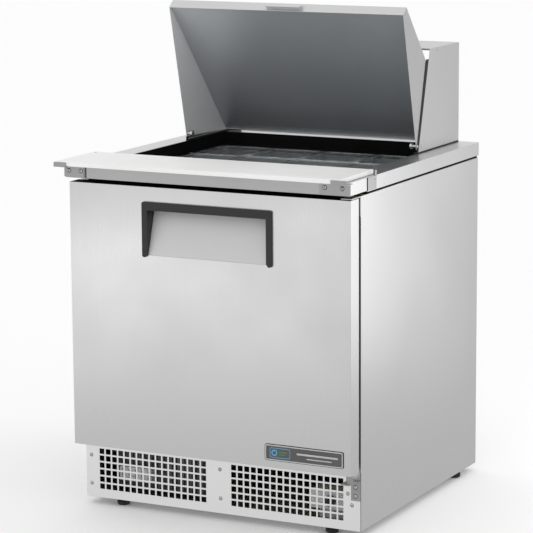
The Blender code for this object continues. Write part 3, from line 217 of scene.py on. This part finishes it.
SCREW_STEEL = brushed("screw_steel", grey(0.72), grey(0.52), "x", (0.22, 0.34), 40.0)
# Dark for joints and print, and painted shade: rings round screw seats, cross recesses, the worktop strips'
# edge shadow and vent slots drawn as dark bars.
DARK_JOINTS_PRINT_AND_SHADE = plastic("dark_joints_print_and_painted_shade", grey(0.030), grey(0.010), (0.60, 0.80))
BLACK = plastic("black_plastic", grey(0.013), grey(0.006), (0.38, 0.52))
# Painted shade: a black darker than the black plastic, for faces that sit in shade.
PAINTED_SHADE_BLACK = plastic("painted_shade_black", grey(0.008), grey(0.003), (0.80, 0.92), shine=0.1)
RUBBER = plastic("black_rubber", grey(0.020), grey(0.008), (0.60, 0.75), 500.0, 0.2, shine=0.3)
WHITE = plastic("white_board", grey(0.86, 0.004), grey(0.80, 0.008), (0.42, 0.55), 700.0, 0.10, patch=3.0)
PALE = plastic("pale_plastic", grey(0.68), grey(0.60), (0.40, 0.50))
FOAM = plastic("foam", (0.80, 0.70, 0.45, 1), (0.70, 0.60, 0.36, 1), (0.85, 0.95), 260.0, 0.5)
ENAMEL = plastic("black_enamel", grey(0.030), grey(0.018), (0.25, 0.40), 300.0, 0.1, 0.3)
COATED = plastic("coated_wire", grey(0.80), grey(0.72), (0.30, 0.40), 400.0, 0.1, 0.3)
BADGE = plastic("badge_face", grey(0.085), grey(0.060), (0.22, 0.34), 1500.0, 0.05, 0.4)
BLUE = plastic("badge_blue", (0.13, 0.39, 0.58, 1), (0.09, 0.32, 0.50, 1), (0.25, 0.35), 900.0, 0.05, 0.4)
GREEN = plastic("badge_green", (0.10, 0.26, 0.07, 1), (0.07, 0.20, 0.05, 1), (0.25, 0.35), 900.0, 0.05, 0.4)
CLEAR = clear_plastic()

LOOKS = {
    "stainless_steel": STEEL_X,
    "dark_steel": LID_DARK,
    "galvanised_steel": ZINC,
    "liner_aluminium": LINER_METAL,
    "coil_aluminium": FINS,
    "copper_pipe": COPPER,
    "black_plastic": BLACK,
    "black_rubber": RUBBER,
    "white_board": WHITE,
    "foam": FOAM,
    "clear_plastic": CLEAR,
    "coated_wire": COATED,
    "black_enamel": ENAMEL,
    "pale_plastic": PALE,
    "badge_plate": BADGE,
}
# The lighter and darker copies of the steel given here are painted light and painted shade.
LOOK_OF = {
    "side_panel_left": STEEL_Z,
    "side_panel_right": STEEL_Z,
    "hood": STEEL_HOOD_SHADED,
    "lid_shell": STEEL_LID,
    "lid_handle": STEEL_LID,
    "board_bracket_left": STEEL_BRACKETS_SHADED,
    "board_bracket_right": STEEL_BRACKETS_SHADED,
    "front_grille": STEEL_KICK_LIT,
    "hinge_low": STEEL_BRACKETS_SHADED,
    "door_skin": STEEL_Z,
    "handle_pocket": STEEL_MATTE,
    # The rail liner and the door frame take the painted shade black.
    "rail_liner": PAINTED_SHADE_BLACK,
    "door_frame": PAINTED_SHADE_BLACK,
}
for node_name, node in NODES.items():
    node.data.materials.clear()
    node.data.materials.append(LOOK_OF.get(node_name, LOOKS[SLOT_OF[node_name]]))

# ---------------------------------------------------------------- building pieces


def piece(name, bm, looks, like, replaced=()):
    """Finishes one piece, which rides like the CAD node it belongs to."""
    mesh = bpy.data.meshes.new(name)
    bm.to_mesh(mesh)
    bm.free()
    for look in looks:
        mesh.materials.append(look)
    obj = bpy.data.objects.new(name, mesh)
    bpy.context.scene.collection.objects.link(obj)
    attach(obj, BODY_OF[like])
    if replaced:
        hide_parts(*replaced)
    return obj


def softened(node_name, width, segments=2, angle=28, others=(), corner=None):
    """The CAD node with its flat faces merged and every edge rounded a little.

    others lists (test of a face's normal and middle, look) for faces that differ; corner is (test of an
    edge's middle, radius) for edges along Y that are rounded further.
    """
    bm = bmesh.new()
    bm.from_mesh(NODES[node_name].data)
    bmesh.ops.remove_doubles(bm, verts=bm.verts, dist=1e-6)
    bmesh.ops.dissolve_limit(
        bm, angle_limit=radians(1.0), verts=bm.verts, edges=bm.edges, use_dissolve_boundaries=False
    )
    if corner:
        test, radius = corner
        along = [e for e in bm.edges if abs((e.verts[0].co - e.verts[1].co).normalized().y) > 0.99]
        chosen = [e for e in along if test((e.verts[0].co + e.verts[1].co) / 2)]
        bmesh.ops.bevel(bm, geom=chosen, offset=radius, segments=5, profile=0.5, affect="EDGES")
    bm.normal_update()
    for face in bm.faces:
        for number, (test, _) in enumerate(others):
            if test(face.normal, face.calc_center_median()):
                face.material_index = number + 1
    looks = [NODES[node_name].data.materials[0]] + [look for _, look in others]
    obj = piece(node_name + "_finished", bm, looks, node_name, [node_name])
    for polygon in obj.data.polygons:
        polygon.use_smooth = True
    obj.data.set_sharp_from_angle(angle=radians(angle))
    rounding = obj.modifiers.new("edges", "BEVEL")
    rounding.width = width
    rounding.segments = segments
    rounding.limit_method = "ANGLE"
    rounding.angle_limit = radians(angle)
    shading = obj.modifiers.new("shading", "WEIGHTED_NORMAL")
    shading.keep_sharp = True
    shading.weight = 100
    return obj


def block(bm, low, high, edge=0.0004, index=0, corner=0.0, axis=1):
    """A box with rounded edges; corner rounds the four edges along one axis further."""
    made = bmesh.new()
    low, high = at(*low), at(*high)
    for vertex in bmesh.ops.create_cube(made, size=1.0)["verts"]:
        vertex.co = Vector([low[i] if vertex.co[i] < 0 else high[i] for i in range(3)])
    for face in made.faces:
        face.material_index = index
    if corner:
        along = [e for e in made.edges if abs((e.verts[0].co - e.verts[1].co).normalized()[axis]) > 0.9]
        bmesh.ops.bevel(made, geom=along, offset=corner, segments=5, profile=0.5, affect="EDGES")
    if edge:
        sharp = [e for e in made.edges if e.calc_face_angle(0.0) > 1.0]
        bmesh.ops.bevel(made, geom=sharp, offset=edge, segments=2, profile=0.5, affect="EDGES")
    mesh = bpy.data.meshes.new("block")
    made.to_mesh(mesh)
    made.free()
    bm.from_mesh(mesh)
    bpy.data.meshes.remove(mesh)


def turned(bm, profile, centre, axis, sides=20, index=0):
    """A round shape: profile gives (radius, distance along the axis); the axis is a unit vector."""
    axis = Vector(axis)
    first = axis.orthogonal().normalized()
    second = axis.cross(first)
    rings = []
    for radius, height in profile:
        if radius < 1e-7:
            rings.append([bm.verts.new(at(*centre) + axis * height)])
            continue
        spokes = [first * cos(2 * pi * k / sides) + second * sin(2 * pi * k / sides) for k in range(sides)]
        rings.append([bm.verts.new(at(*centre) + axis * height + spoke * radius) for spoke in spokes])
    for near, far in zip(rings, rings[1:]):
        for k in range(sides):
            n = (k + 1) % sides
            corners = [near[k % len(near)], near[n % len(near)], far[n % len(far)], far[k % len(far)]]
            face = bm.faces.new(list(dict.fromkeys(corners)))
            face.smooth = True
            face.material_index = index


def rod(bm, points, radius, sides=8, index=0, closed=False):
    """A round wire through points given in cabinet coordinates."""
    places = [at(*p) for p in points]
    count = len(places)
    rings = []
    for i, place in enumerate(places):
        before = places[i - 1] if i or closed else place
        after = places[(i + 1) % count] if i < count - 1 or closed else place
        along = (after - before).normalized()
        first = along.cross(Vector((0.3, 0.5, 0.81))).normalized()
        second = along.cross(first)
        spokes = [first * cos(2 * pi * k / sides) + second * sin(2 * pi * k / sides) for k in range(sides)]
        rings.append([bm.verts.new(place + spoke * radius) for spoke in spokes])
    pairs = list(zip(rings, rings[1:])) + ([(rings[-1], rings[0])] if closed else [])
    for near, far in pairs:
        for k in range(sides):
            face = bm.faces.new([near[k], near[(k + 1) % sides], far[(k + 1) % sides], far[k]])
            face.smooth = True
            face.material_index = index
    if not closed:
        bm.faces.new(rings[0][::-1]).material_index = index
        bm.faces.new(rings[-1]).material_index = index


# Each screw's radius and height.
KICK_SCREW = (0.0042, 0.0016)
BRACKET_SCREW = (0.0050, 0.0022)
STRIP_SCREW = (0.0036, 0.0012)
HOOD_SCREW = (0.0034, 0.0011)
HINGE_BOLT = (0.0048, 0.0022)
HOUSING_SCREW = (0.0040, 0.0016)
BACK_SCREW = (0.0042, 0.0016)


def screws(name, like, places, axis, size):
    """Domed screws standing on a face, each with a painted shadow ring round its seat and a cross recess
    painted as dark shade; axis points out of the face.
    """
    radius, height = size
    bm = bmesh.new()
    out = Vector(axis)
    first = out.orthogonal().normalized()
    second = out.cross(first)
    for number, place in enumerate(places):
        dome = [(radius, 0), (radius, height * 0.25), (radius * 0.8, height * 0.72), (radius * 0.45, height)]
        dome.append((0, height))
        # A dark ring round each screw's foot: painted shadow.
        turned(bm, [(radius * 1.25, 0.0), (radius * 1.20, 0.00015), (0, 0.0002)], place, axis, 18, 1)
        turned(bm, dome, place, axis, 18)
        turn = 0.5 + number * 1.3
        # The cross recess: two flat dark strips just above the dome, painted shade.
        for quarter in (0, 1):
            a = turn + quarter * pi / 2
            along, aside = first * cos(a) + second * sin(a), second * cos(a) - first * sin(a)
            top = at(*place) + out * (height + 0.00008)
            corners = [(-0.55, -0.11), (0.55, -0.11), (0.55, 0.11), (-0.55, 0.11)]
            face = bm.faces.new([bm.verts.new(top + (along * i + aside * j) * radius) for i, j in corners])
            face.material_index = 1
    bmesh.ops.recalc_face_normals(bm, faces=bm.faces)
    return piece(name, bm, [SCREW_STEEL, DARK_JOINTS_PRINT_AND_SHADE], like)


def span_of(node_name):
    """A CAD node's box in cabinet coordinates."""
    shift = Vector((0, FRONT_Y, UNDER_Z))
    low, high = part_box(node_name)
    return low - shift, high - shift


# ---------------------------------------------------------------- CAD nodes with rounded edges

# A face within this distance of its node's outer side belongs to it.
SKIN = 0.0006
PAN_COUNT = 12

for node_name, width in (
    ("side_panel_left", 0.0005), ("side_panel_right", 0.0005), ("worktop", 0.0005), ("hood", 0.0005),
    ("lid_liner", 0.0012), ("lid_handle", 0.0006),
    ("board_bracket_left", 0.0006), ("board_bracket_right", 0.0006), ("front_grille", 0.0003),
    ("door_gasket", 0.0020), ("door_frame", 0.0008),
    ("rail_liner", 0.0006), ("divider_bar_front", 0.0008), ("divider_bar_rear", 0.0008),
    ("hood_seal", 0.0004),
    ("hinge_low", 0.0008), ("hinge_high", 0.0008), ("control_box", 0.0015), ("evaporator_housing", 0.0005),
    ("fan_shroud", 0.0004), ("power_inlet", 0.0008), ("thermostat_knob", 0.0006), ("back_panel", 0.0004),
):
    softened(node_name, width)
softened("cutting_board", 0.0028, 4, 20)
# The rail's front faces take the painted shade copy of the steel.
softened("board_support", 0.0005, others=[(lambda n, c: n.y < -0.9, STEEL_RAIL_SHADED)])
lid_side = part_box("lid_shell")[1].x - SKIN
# The lid's outer side faces take painted shade, its inner side faces painted light.
softened("lid_shell", 0.0005, others=[
    (lambda n, c: abs(n.x) > 0.9 and abs(c.x) > lid_side, STEEL_SKIRT_SHADED),
    (lambda n, c: abs(n.x) > 0.9 and abs(c.x) < lid_side, STEEL_INSIDE_LIT),
])
door_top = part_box("door_skin")[1].z - 0.0005
# The door's top face takes the painted shade black: it lies in the shade under the rail.
softened("door_skin", 0.0005, others=[(lambda n, c: n.z > 0.9 and c.z > door_top, PAINTED_SHADE_BLACK)])
handle_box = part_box("door_handle")
softened("door_handle", 0.0012, corner=(
    lambda c: c.z < handle_box[0].z + 0.0002
    or (c.z > handle_box[1].z - 0.0002 and abs(c.x) > handle_box[1].x - 0.0002), 0.0055))
for number in range(1, PAN_COUNT + 1):
    softened(f"pan_{number:02d}", 0.0006, 2, 40)

# ---------------------------------------------------------------- screws and small fittings

BRACKET_SHEET = 0.0021  # from the rail's face to the bracket's
BRACKET_SCREW_Z = 0.900
RAIL_JOINT_LEFT = -0.3515
RAIL_JOINT_RIGHT = -0.3475
STRIP_THICK = 0.0014  # worktop joint strips
STRIP_FRONT = 0.034
STRIP_BACK = 0.0865

kick_low, kick_high = span_of("front_grille")
kick = kick_low.y
screws("kick_screws", "front_grille", [
    (kick_low.x + 0.016, kick, 0.1160), (kick_low.x + 0.016, kick, 0.0377), (0.0002, kick, 0.1193),
    (0.0017, kick, 0.0407), (kick_high.x - 0.0365, kick, 0.0977), (kick_high.x - 0.0245, kick, 0.0679),
], (0, -1, 0), KICK_SCREW)

rail_low, rail_high = span_of("board_support")
for side, xs in (("left", (-0.3996, -0.3633)), ("right", (0.3429, 0.3910))):
    places = [(x, rail_low.y - BRACKET_SHEET, BRACKET_SCREW_Z) for x in xs]
    screws("bracket_screws_" + side, "board_bracket_" + side, places, (0, -1, 0), BRACKET_SCREW)

bm = bmesh.new()
near = (RAIL_JOINT_LEFT, rail_low.y - 0.0004, rail_low.z + 0.0015)
far = (RAIL_JOINT_RIGHT, rail_low.y + 0.0004, rail_high.z - 0.0015)
block(bm, near, far, 0.0002)
piece("rail_joint_left", bm, [DARK_JOINTS_PRINT_AND_SHADE], "board_support")
bm = bmesh.new()
near = (kick_high.x - 0.0006, kick - 0.0001, 0.0006)
far = (kick_high.x + 0.0002, 0.0012, kick_high.z - 0.0006)
block(bm, near, far, 0.00015)
piece("kick_joint_right", bm, [DARK_JOINTS_PRINT_AND_SHADE], "front_grille")

top_low, top_high = span_of("worktop")
for side, sign in (("left", -1), ("right", 1)):
    bm = bmesh.new()
    outer = sign * (top_high.x + STRIP_THICK)
    near, far = sorted((sign * top_high.x, outer))
    block(bm, (near, STRIP_FRONT, top_low.z + 0.002), (far, STRIP_BACK, top_high.z - 0.0004), 0.0003)
    block(bm, (near, 0.0775, top_high.z - 0.002), (far, 0.0875, top_high.z + 0.0135), 0.0003, 0, 0.002, 0)
    # A dark line at the strip's front edge: the seam, with the strip's shadow painted on.
    block(bm, (near, 0.0325, top_low.z + 0.0022), (far, 0.0345, top_high.z - 0.0006), 0.0, 1)
    piece("worktop_strip_" + side, bm, [STEEL_BRACKETS_SHADED, DARK_JOINTS_PRINT_AND_SHADE], "worktop")
    places = [(outer, STRIP_BACK - 0.008, top_high.z - 0.0060)]
    screws("strip_screw_" + side, "worktop", places, (sign, 0, 0), STRIP_SCREW)

hood_low, hood_high = span_of("hood")
for side, sign in (("left", -1), ("right", 1)):
    x = sign * hood_high.x
    screws("hood_screws_" + side, "hood", [
        (x, hood_low.y + 0.0175, hood_low.z + 0.0145), (x, hood_high.y - 0.006, hood_low.z + 0.066),
        (x, hood_low.y + 0.124, hood_high.z - 0.0060),
    ], (sign, 0, 0), HOOD_SCREW)

low, high = span_of("hinge_low")
places = [(high.x - 0.0135, -0.0048, low.z + height) for height in (0.012, 0.036)]
screws("hinge_bolts", "hinge_low", places, (0, -1, 0), HINGE_BOLT)

# ---------------------------------------------------------------- badge

low, high = span_of("badge")
wide = high.x - low.x
LAYER_STEP = 0.0002
# Each raised layer: in from the left, lower, right and upper edges; steps forward; look; corner radius.
BADGE_LAYERS = (
    (0, 0, 0, 0, 0, 0, 0.0050),
    (0.0012, 0.0012, 0.0012, 0.0012, 1, 1, 0.0042),
    (0.0042, 0.0042, 0.0042, 0.0042, 2, 2, 0.0026),
    (0.0150, 0.0085, wide - 0.0735, 0.0085, 3, 3, 0.0050),
    (0.0168, 0.0103, wide - 0.0717, 0.0103, 4, 2, 0.0036),
    (0.0200, 0.0135, wide - 0.0365, 0.0135, 5, 3, 0.0070),
    (0.0235, 0.0170, wide - 0.0330, 0.0170, 6, 2, 0.0040),
    (0.0410, 0.0230, wide - 0.0640, 0.0180, 5, 4, 0.0008),
    (0.0410, 0.0170, wide - 0.0580, 0.0240, 5, 4, 0.0008),
    (0.0920, 0.0225, 0.0150, 0.0160, 4, 1, 0.0015),
    (0.1200, 0.0130, 0.0320, 0.0275, 4, 1, 0.0010),
)
bm = bmesh.new()
for left, foot, right, head, step, look, corner in BADGE_LAYERS:
    near = (low.x + left, low.y - LAYER_STEP * step, low.z + foot)
    block(bm, near, (high.x - right, high.y, high.z - head), 0.0001, look, corner, 1)
piece("badge_finished", bm, [RUBBER, SCREW_STEEL, BADGE, BLUE, GREEN], "badge", ["badge"])

# ---------------------------------------------------------------- inside: wire shelf, fan guard, housing

SHELF_FRAME = 0.003  # radii of the shelf's wires
SHELF_WIRE = 0.0016
SHELF_BAR = 0.0022
SHELF_PITCH = 0.024
low, high = span_of("wire_shelf")
left, right = low.x + SHELF_FRAME, high.x - SHELF_FRAME
front, back = low.y + SHELF_FRAME, high.y - SHELF_FRAME
middle = (low.z + high.z) / 2
bm = bmesh.new()
corners = [(left, front, middle), (right, front, middle), (right, back, middle), (left, back, middle)]
rod(bm, corners, SHELF_FRAME, 10, 0, True)
count = int((high.x - low.x) / SHELF_PITCH)
for k in range(1, count):
    x = low.x + (high.x - low.x) * k / count
    rod(bm, [(x, front, middle + 0.0010), (x, back, middle + 0.0010)], SHELF_WIRE, 6)
for share in (0.25, 0.5, 0.75):
    y = low.y + (high.y - low.y) * share
    rod(bm, [(left, y, middle - 0.0008), (right, y, middle - 0.0008)], SHELF_BAR, 8)
bmesh.ops.recalc_face_normals(bm, faces=bm.faces)
piece("wire_shelf_finished", bm, [COATED], "wire_shelf", ["wire_shelf"])

GUARD_RINGS = (0.014, 0.026, 0.038, 0.050, 0.060)
GUARD_REACH = 0.0640  # the spokes' outer ends
GUARD_STAND = 0.0035  # in front of the housing
GUARD_WIRE = 0.0012
GUARD_SPOKE = 0.0015
low, high = span_of("evaporator_fan")
centre = (low + high) / 2
front = span_of("evaporator_housing")[0].y - GUARD_STAND
bm = bmesh.new()
for radius in GUARD_RINGS:
    turns = [2 * pi * k / 36 for k in range(36)]
    ring = [(centre.x + radius * cos(a), front, centre.z + radius * sin(a)) for a in turns]
    rod(bm, ring, GUARD_WIRE, 6, 0, True)
for k in range(6):
    a = pi / 6 + k * pi / 3
    ends = [(centre.x + r * cos(a), front, centre.z + r * sin(a)) for r in (GUARD_RINGS[0], GUARD_REACH)]
    rod(bm, ends, GUARD_SPOKE, 6)
    foot = ends[1]
    rod(bm, [foot, (foot[0], front + GUARD_STAND + 0.0001, foot[2])], GUARD_SPOKE, 6)
bmesh.ops.recalc_face_normals(bm, faces=bm.faces)
piece("evaporator_fan_guard", bm, [COATED], "evaporator_housing")

HOUSING_INSET = 0.012  # its screws, in from each edge
LOUVRE_PITCH = 0.020
LOUVRE_HALF = 0.030
low, high = span_of("evaporator_housing")
screws("housing_screws", "evaporator_housing", [
    (x, low.y, z)
    for x in (low.x + HOUSING_INSET, high.x - HOUSING_INSET)
    for z in (low.z + HOUSING_INSET, high.z - HOUSING_INSET)
], (0, -1, 0), HOUSING_SCREW)
bm = bmesh.new()
for k in range(7):
    z = low.z + 0.030 + k * LOUVRE_PITCH
    for sign in (-1, 1):
        x = sign * (high.x - 0.055)
        block(bm, (x - LOUVRE_HALF, low.y - 0.0016, z), (x + LOUVRE_HALF, low.y + 0.0002, z + 0.0060), 0.0007)
piece("housing_louvres", bm, [LINER_METAL], "evaporator_housing")

# ---------------------------------------------------------------- back: louvres, screws and rating plate

BACK_LOUVRE_HALF = 0.070
BACK_LOUVRE_PITCH = 0.022
low, high = span_of("back_panel")
face = high.y
bm = bmesh.new()
for column in range(2):
    for row in range(5):
        x, z = -0.090 + column * 0.190, 0.034 + row * BACK_LOUVRE_PITCH
        half = BACK_LOUVRE_HALF
        block(bm, (x - half, face - 0.0004, z), (x + half, face + 0.0018, z + 0.0090), 0.0010, 0)
        half -= 0.002
        # Under each louvre a dark strip: painted shade where its opening is.
        block(bm, (x - half, face - 0.0004, z - 0.0028), (x + half, face + 0.0004, z + 0.0006), 0.0, 1)
piece("back_louvres", bm, [ZINC, DARK_JOINTS_PRINT_AND_SHADE], "back_panel")
xs = (low.x + 0.016, -0.190, 0.0, 0.190, high.x - 0.016)
places = [(x, face, z) for x in xs for z in (low.z + 0.014, 0.150, high.z - 0.016)]
places += [(x, face, z) for x in (xs[0], xs[-1]) for z in (0.330, 0.510, 0.690)]
screws("back_screws", "back_panel", places, (0, 1, 0), BACK_SCREW)
bm = bmesh.new()
block(bm, (0.215, face - 0.0002, 0.560), (0.335, face + 0.0006, 0.640), 0.0002, 0, 0.004, 1)
for k in range(5):
    z = 0.626 - k * 0.013
    block(bm, (0.223, face, z - 0.0016), (0.327 - 0.016 * (k % 3), face + 0.0007, z + 0.0016), 0.0, 1)
piece("rating_plate", bm, [SCREW_STEEL, DARK_JOINTS_PRINT_AND_SHADE], "back_panel")

# ---------------------------------------------------------------- machinery

coil_low, coil_high = span_of("condenser_coil")
bm = bmesh.new()
block(bm, (-0.328, coil_low.y - 0.022, 0.044), (-0.231, coil_low.y - 0.0003, 0.083), 0.0012)
# Five dark bars on the cover: painted shade standing for its vent slots.
for k in range(5):
    x = -0.3185 + k * 0.0195
    block(bm, (x, coil_low.y - 0.0226, 0.050), (x + 0.0020, coil_low.y - 0.021, 0.078), 0.0, 1)
piece("wiring_cover", bm, [PALE, DARK_JOINTS_PRINT_AND_SHADE], "control_box")

low, high = span_of("compressor")
centre, size = (low + high) / 2, high - low
bm = bmesh.new()
bm.from_mesh(NODES["compressor"].data)
for polygon in bm.faces:
    polygon.smooth = True
radius = size.x / 2
seam = low.z + size.z * 0.52
band = [(radius * 0.90, 0), (radius * 0.995, 0.0005), (radius * 0.995, 0.0035), (radius * 0.90, 0.004)]
turned(bm, band, (centre.x, centre.y, seam), (0, 0, 1), 36)
piece("compressor_finished", bm, [ENAMEL], "compressor", ["compressor"])

# ---------------------------------------------------------------- studio

FLOOR_HALF = 60
WORLD_STRENGTH = 1.04
# How bright the surroundings are, from straight down at 0 to straight up at 1.
WORLD_LEVELS = ((0.0, 0.50), (0.38, 0.66), (0.50, 0.87), (0.66, 1.0))
BEHIND_SHARE = 0.91  # and what is left of that straight behind the object
BEHIND_FROM = 0.2

floor_mesh = bpy.data.meshes.new("floor")
floor_corners = [(x * FLOOR_HALF, y * FLOOR_HALF, 0) for x, y in ((-1, -1), (1, -1), (1, 1), (-1, 1))]
floor_mesh.from_pydata(floor_corners, [], [(0, 1, 2, 3)])
floor = bpy.data.objects.new("floor", floor_mesh)
bpy.context.scene.collection.objects.link(floor)
floor_look = Shader("pale_floor")
floor_look.set(Base_Color=floor_look.mix(floor_look.noise(0.4), grey(0.97), grey(0.95)), Roughness=0.9)
floor_mesh.materials.append(floor_look.material)

floor.visible_glossy = False

world = bpy.data.worlds.new("studio")
world.use_nodes = True
sky = world.node_tree
direction = sky.nodes.new("ShaderNodeTexCoord")
split = sky.nodes.new("ShaderNodeSeparateXYZ")
ramp = sky.nodes.new("ShaderNodeValToRGB")
shift = sky.nodes.new("ShaderNodeMath")
shift.operation = "MULTIPLY_ADD"
shift.inputs[1].default_value = 0.5
shift.inputs[2].default_value = 0.5
sky.links.new(direction.outputs["Generated"], split.inputs[0])
sky.links.new(split.outputs["Z"], shift.inputs[0])
sky.links.new(shift.outputs[0], ramp.inputs[0])
behind = sky.nodes.new("ShaderNodeMapRange")
behind.inputs["From Min"].default_value = BEHIND_FROM
behind.inputs["To Min"].default_value = 1.0
behind.inputs["To Max"].default_value = BEHIND_SHARE
shade = sky.nodes.new("ShaderNodeVectorMath")
shade.operation = "SCALE"
sky.links.new(split.outputs["Y"], behind.inputs["Value"])
sky.links.new(ramp.outputs[0], shade.inputs[0])
sky.links.new(behind.outputs[0], shade.inputs["Scale"])
sky.links.new(shade.outputs[0], sky.nodes["Background"].inputs["Color"])
sky.nodes["Background"].inputs["Strength"].default_value = WORLD_STRENGTH
for place, level in WORLD_LEVELS:
    stop = ramp.color_ramp.elements.new(place) if 0.0 < place < 1.0 else ramp.color_ramp.elements[0]
    stop.color = (level, level, level, 1.0)
ramp.color_ramp.elements[-1].color = (1.0, 1.0, 1.0, 1.0)
bpy.context.scene.world = world


def softbox(name, place, target, width, height, watts):
    """A soft rectangular lamp, out of the camera's sight."""
    data = bpy.data.lights.new(name, "AREA")
    data.shape = "RECTANGLE"
    data.size = width
    data.size_y = height
    data.energy = watts
    lamp = bpy.data.objects.new(name, data)
    place, target = Vector(place), Vector(target)
    facing = (place - target).to_track_quat("Z", "Y").to_matrix().to_4x4()
    lamp.matrix_world = Matrix.Translation(place) @ facing
    lamp.visible_camera = False
    bpy.context.scene.collection.objects.link(lamp)


softbox("front_left_box", (-1.35, -2.20, 0.23), (0.0, -0.4, 0.50), 2.4, 0.42, 2.6)
softbox("right_rear_box", (1.70, 1.15, 0.75), (0.4, -0.3, 0.50), 0.9, 1.4, 7.5)

CAMERA_PLACE = (3.0393, -5.7040, 1.8409)
CAMERA_AZIMUTH = radians(26.936)
CAMERA_ELEVATION = radians(10.350)
CAMERA_ROLL = radians(-0.3945)
CAMERA_LENS = 171.17
camera_data = bpy.data.cameras.new("camera")
camera_data.sensor_width = 36.0
camera_data.lens = CAMERA_LENS
camera_data.clip_end = 200.0
camera = bpy.data.objects.new("camera", camera_data)
bpy.context.scene.collection.objects.link(camera)
flat = cos(CAMERA_ELEVATION)
back = Vector((sin(CAMERA_AZIMUTH) * flat, -cos(CAMERA_AZIMUTH) * flat, sin(CAMERA_ELEVATION)))
right = Vector((0, 0, 1)).cross(back).normalized()
up = back.cross(right)
turned_right = right * cos(CAMERA_ROLL) + up * sin(CAMERA_ROLL)
turned_up = up * cos(CAMERA_ROLL) - right * sin(CAMERA_ROLL)
facing = Matrix((turned_right, turned_up, back)).transposed().to_4x4()
camera.matrix_world = Matrix.Translation(at(*CAMERA_PLACE)) @ facing
bpy.context.scene.camera = camera
bpy.context.scene.view_settings.view_transform = "Standard"
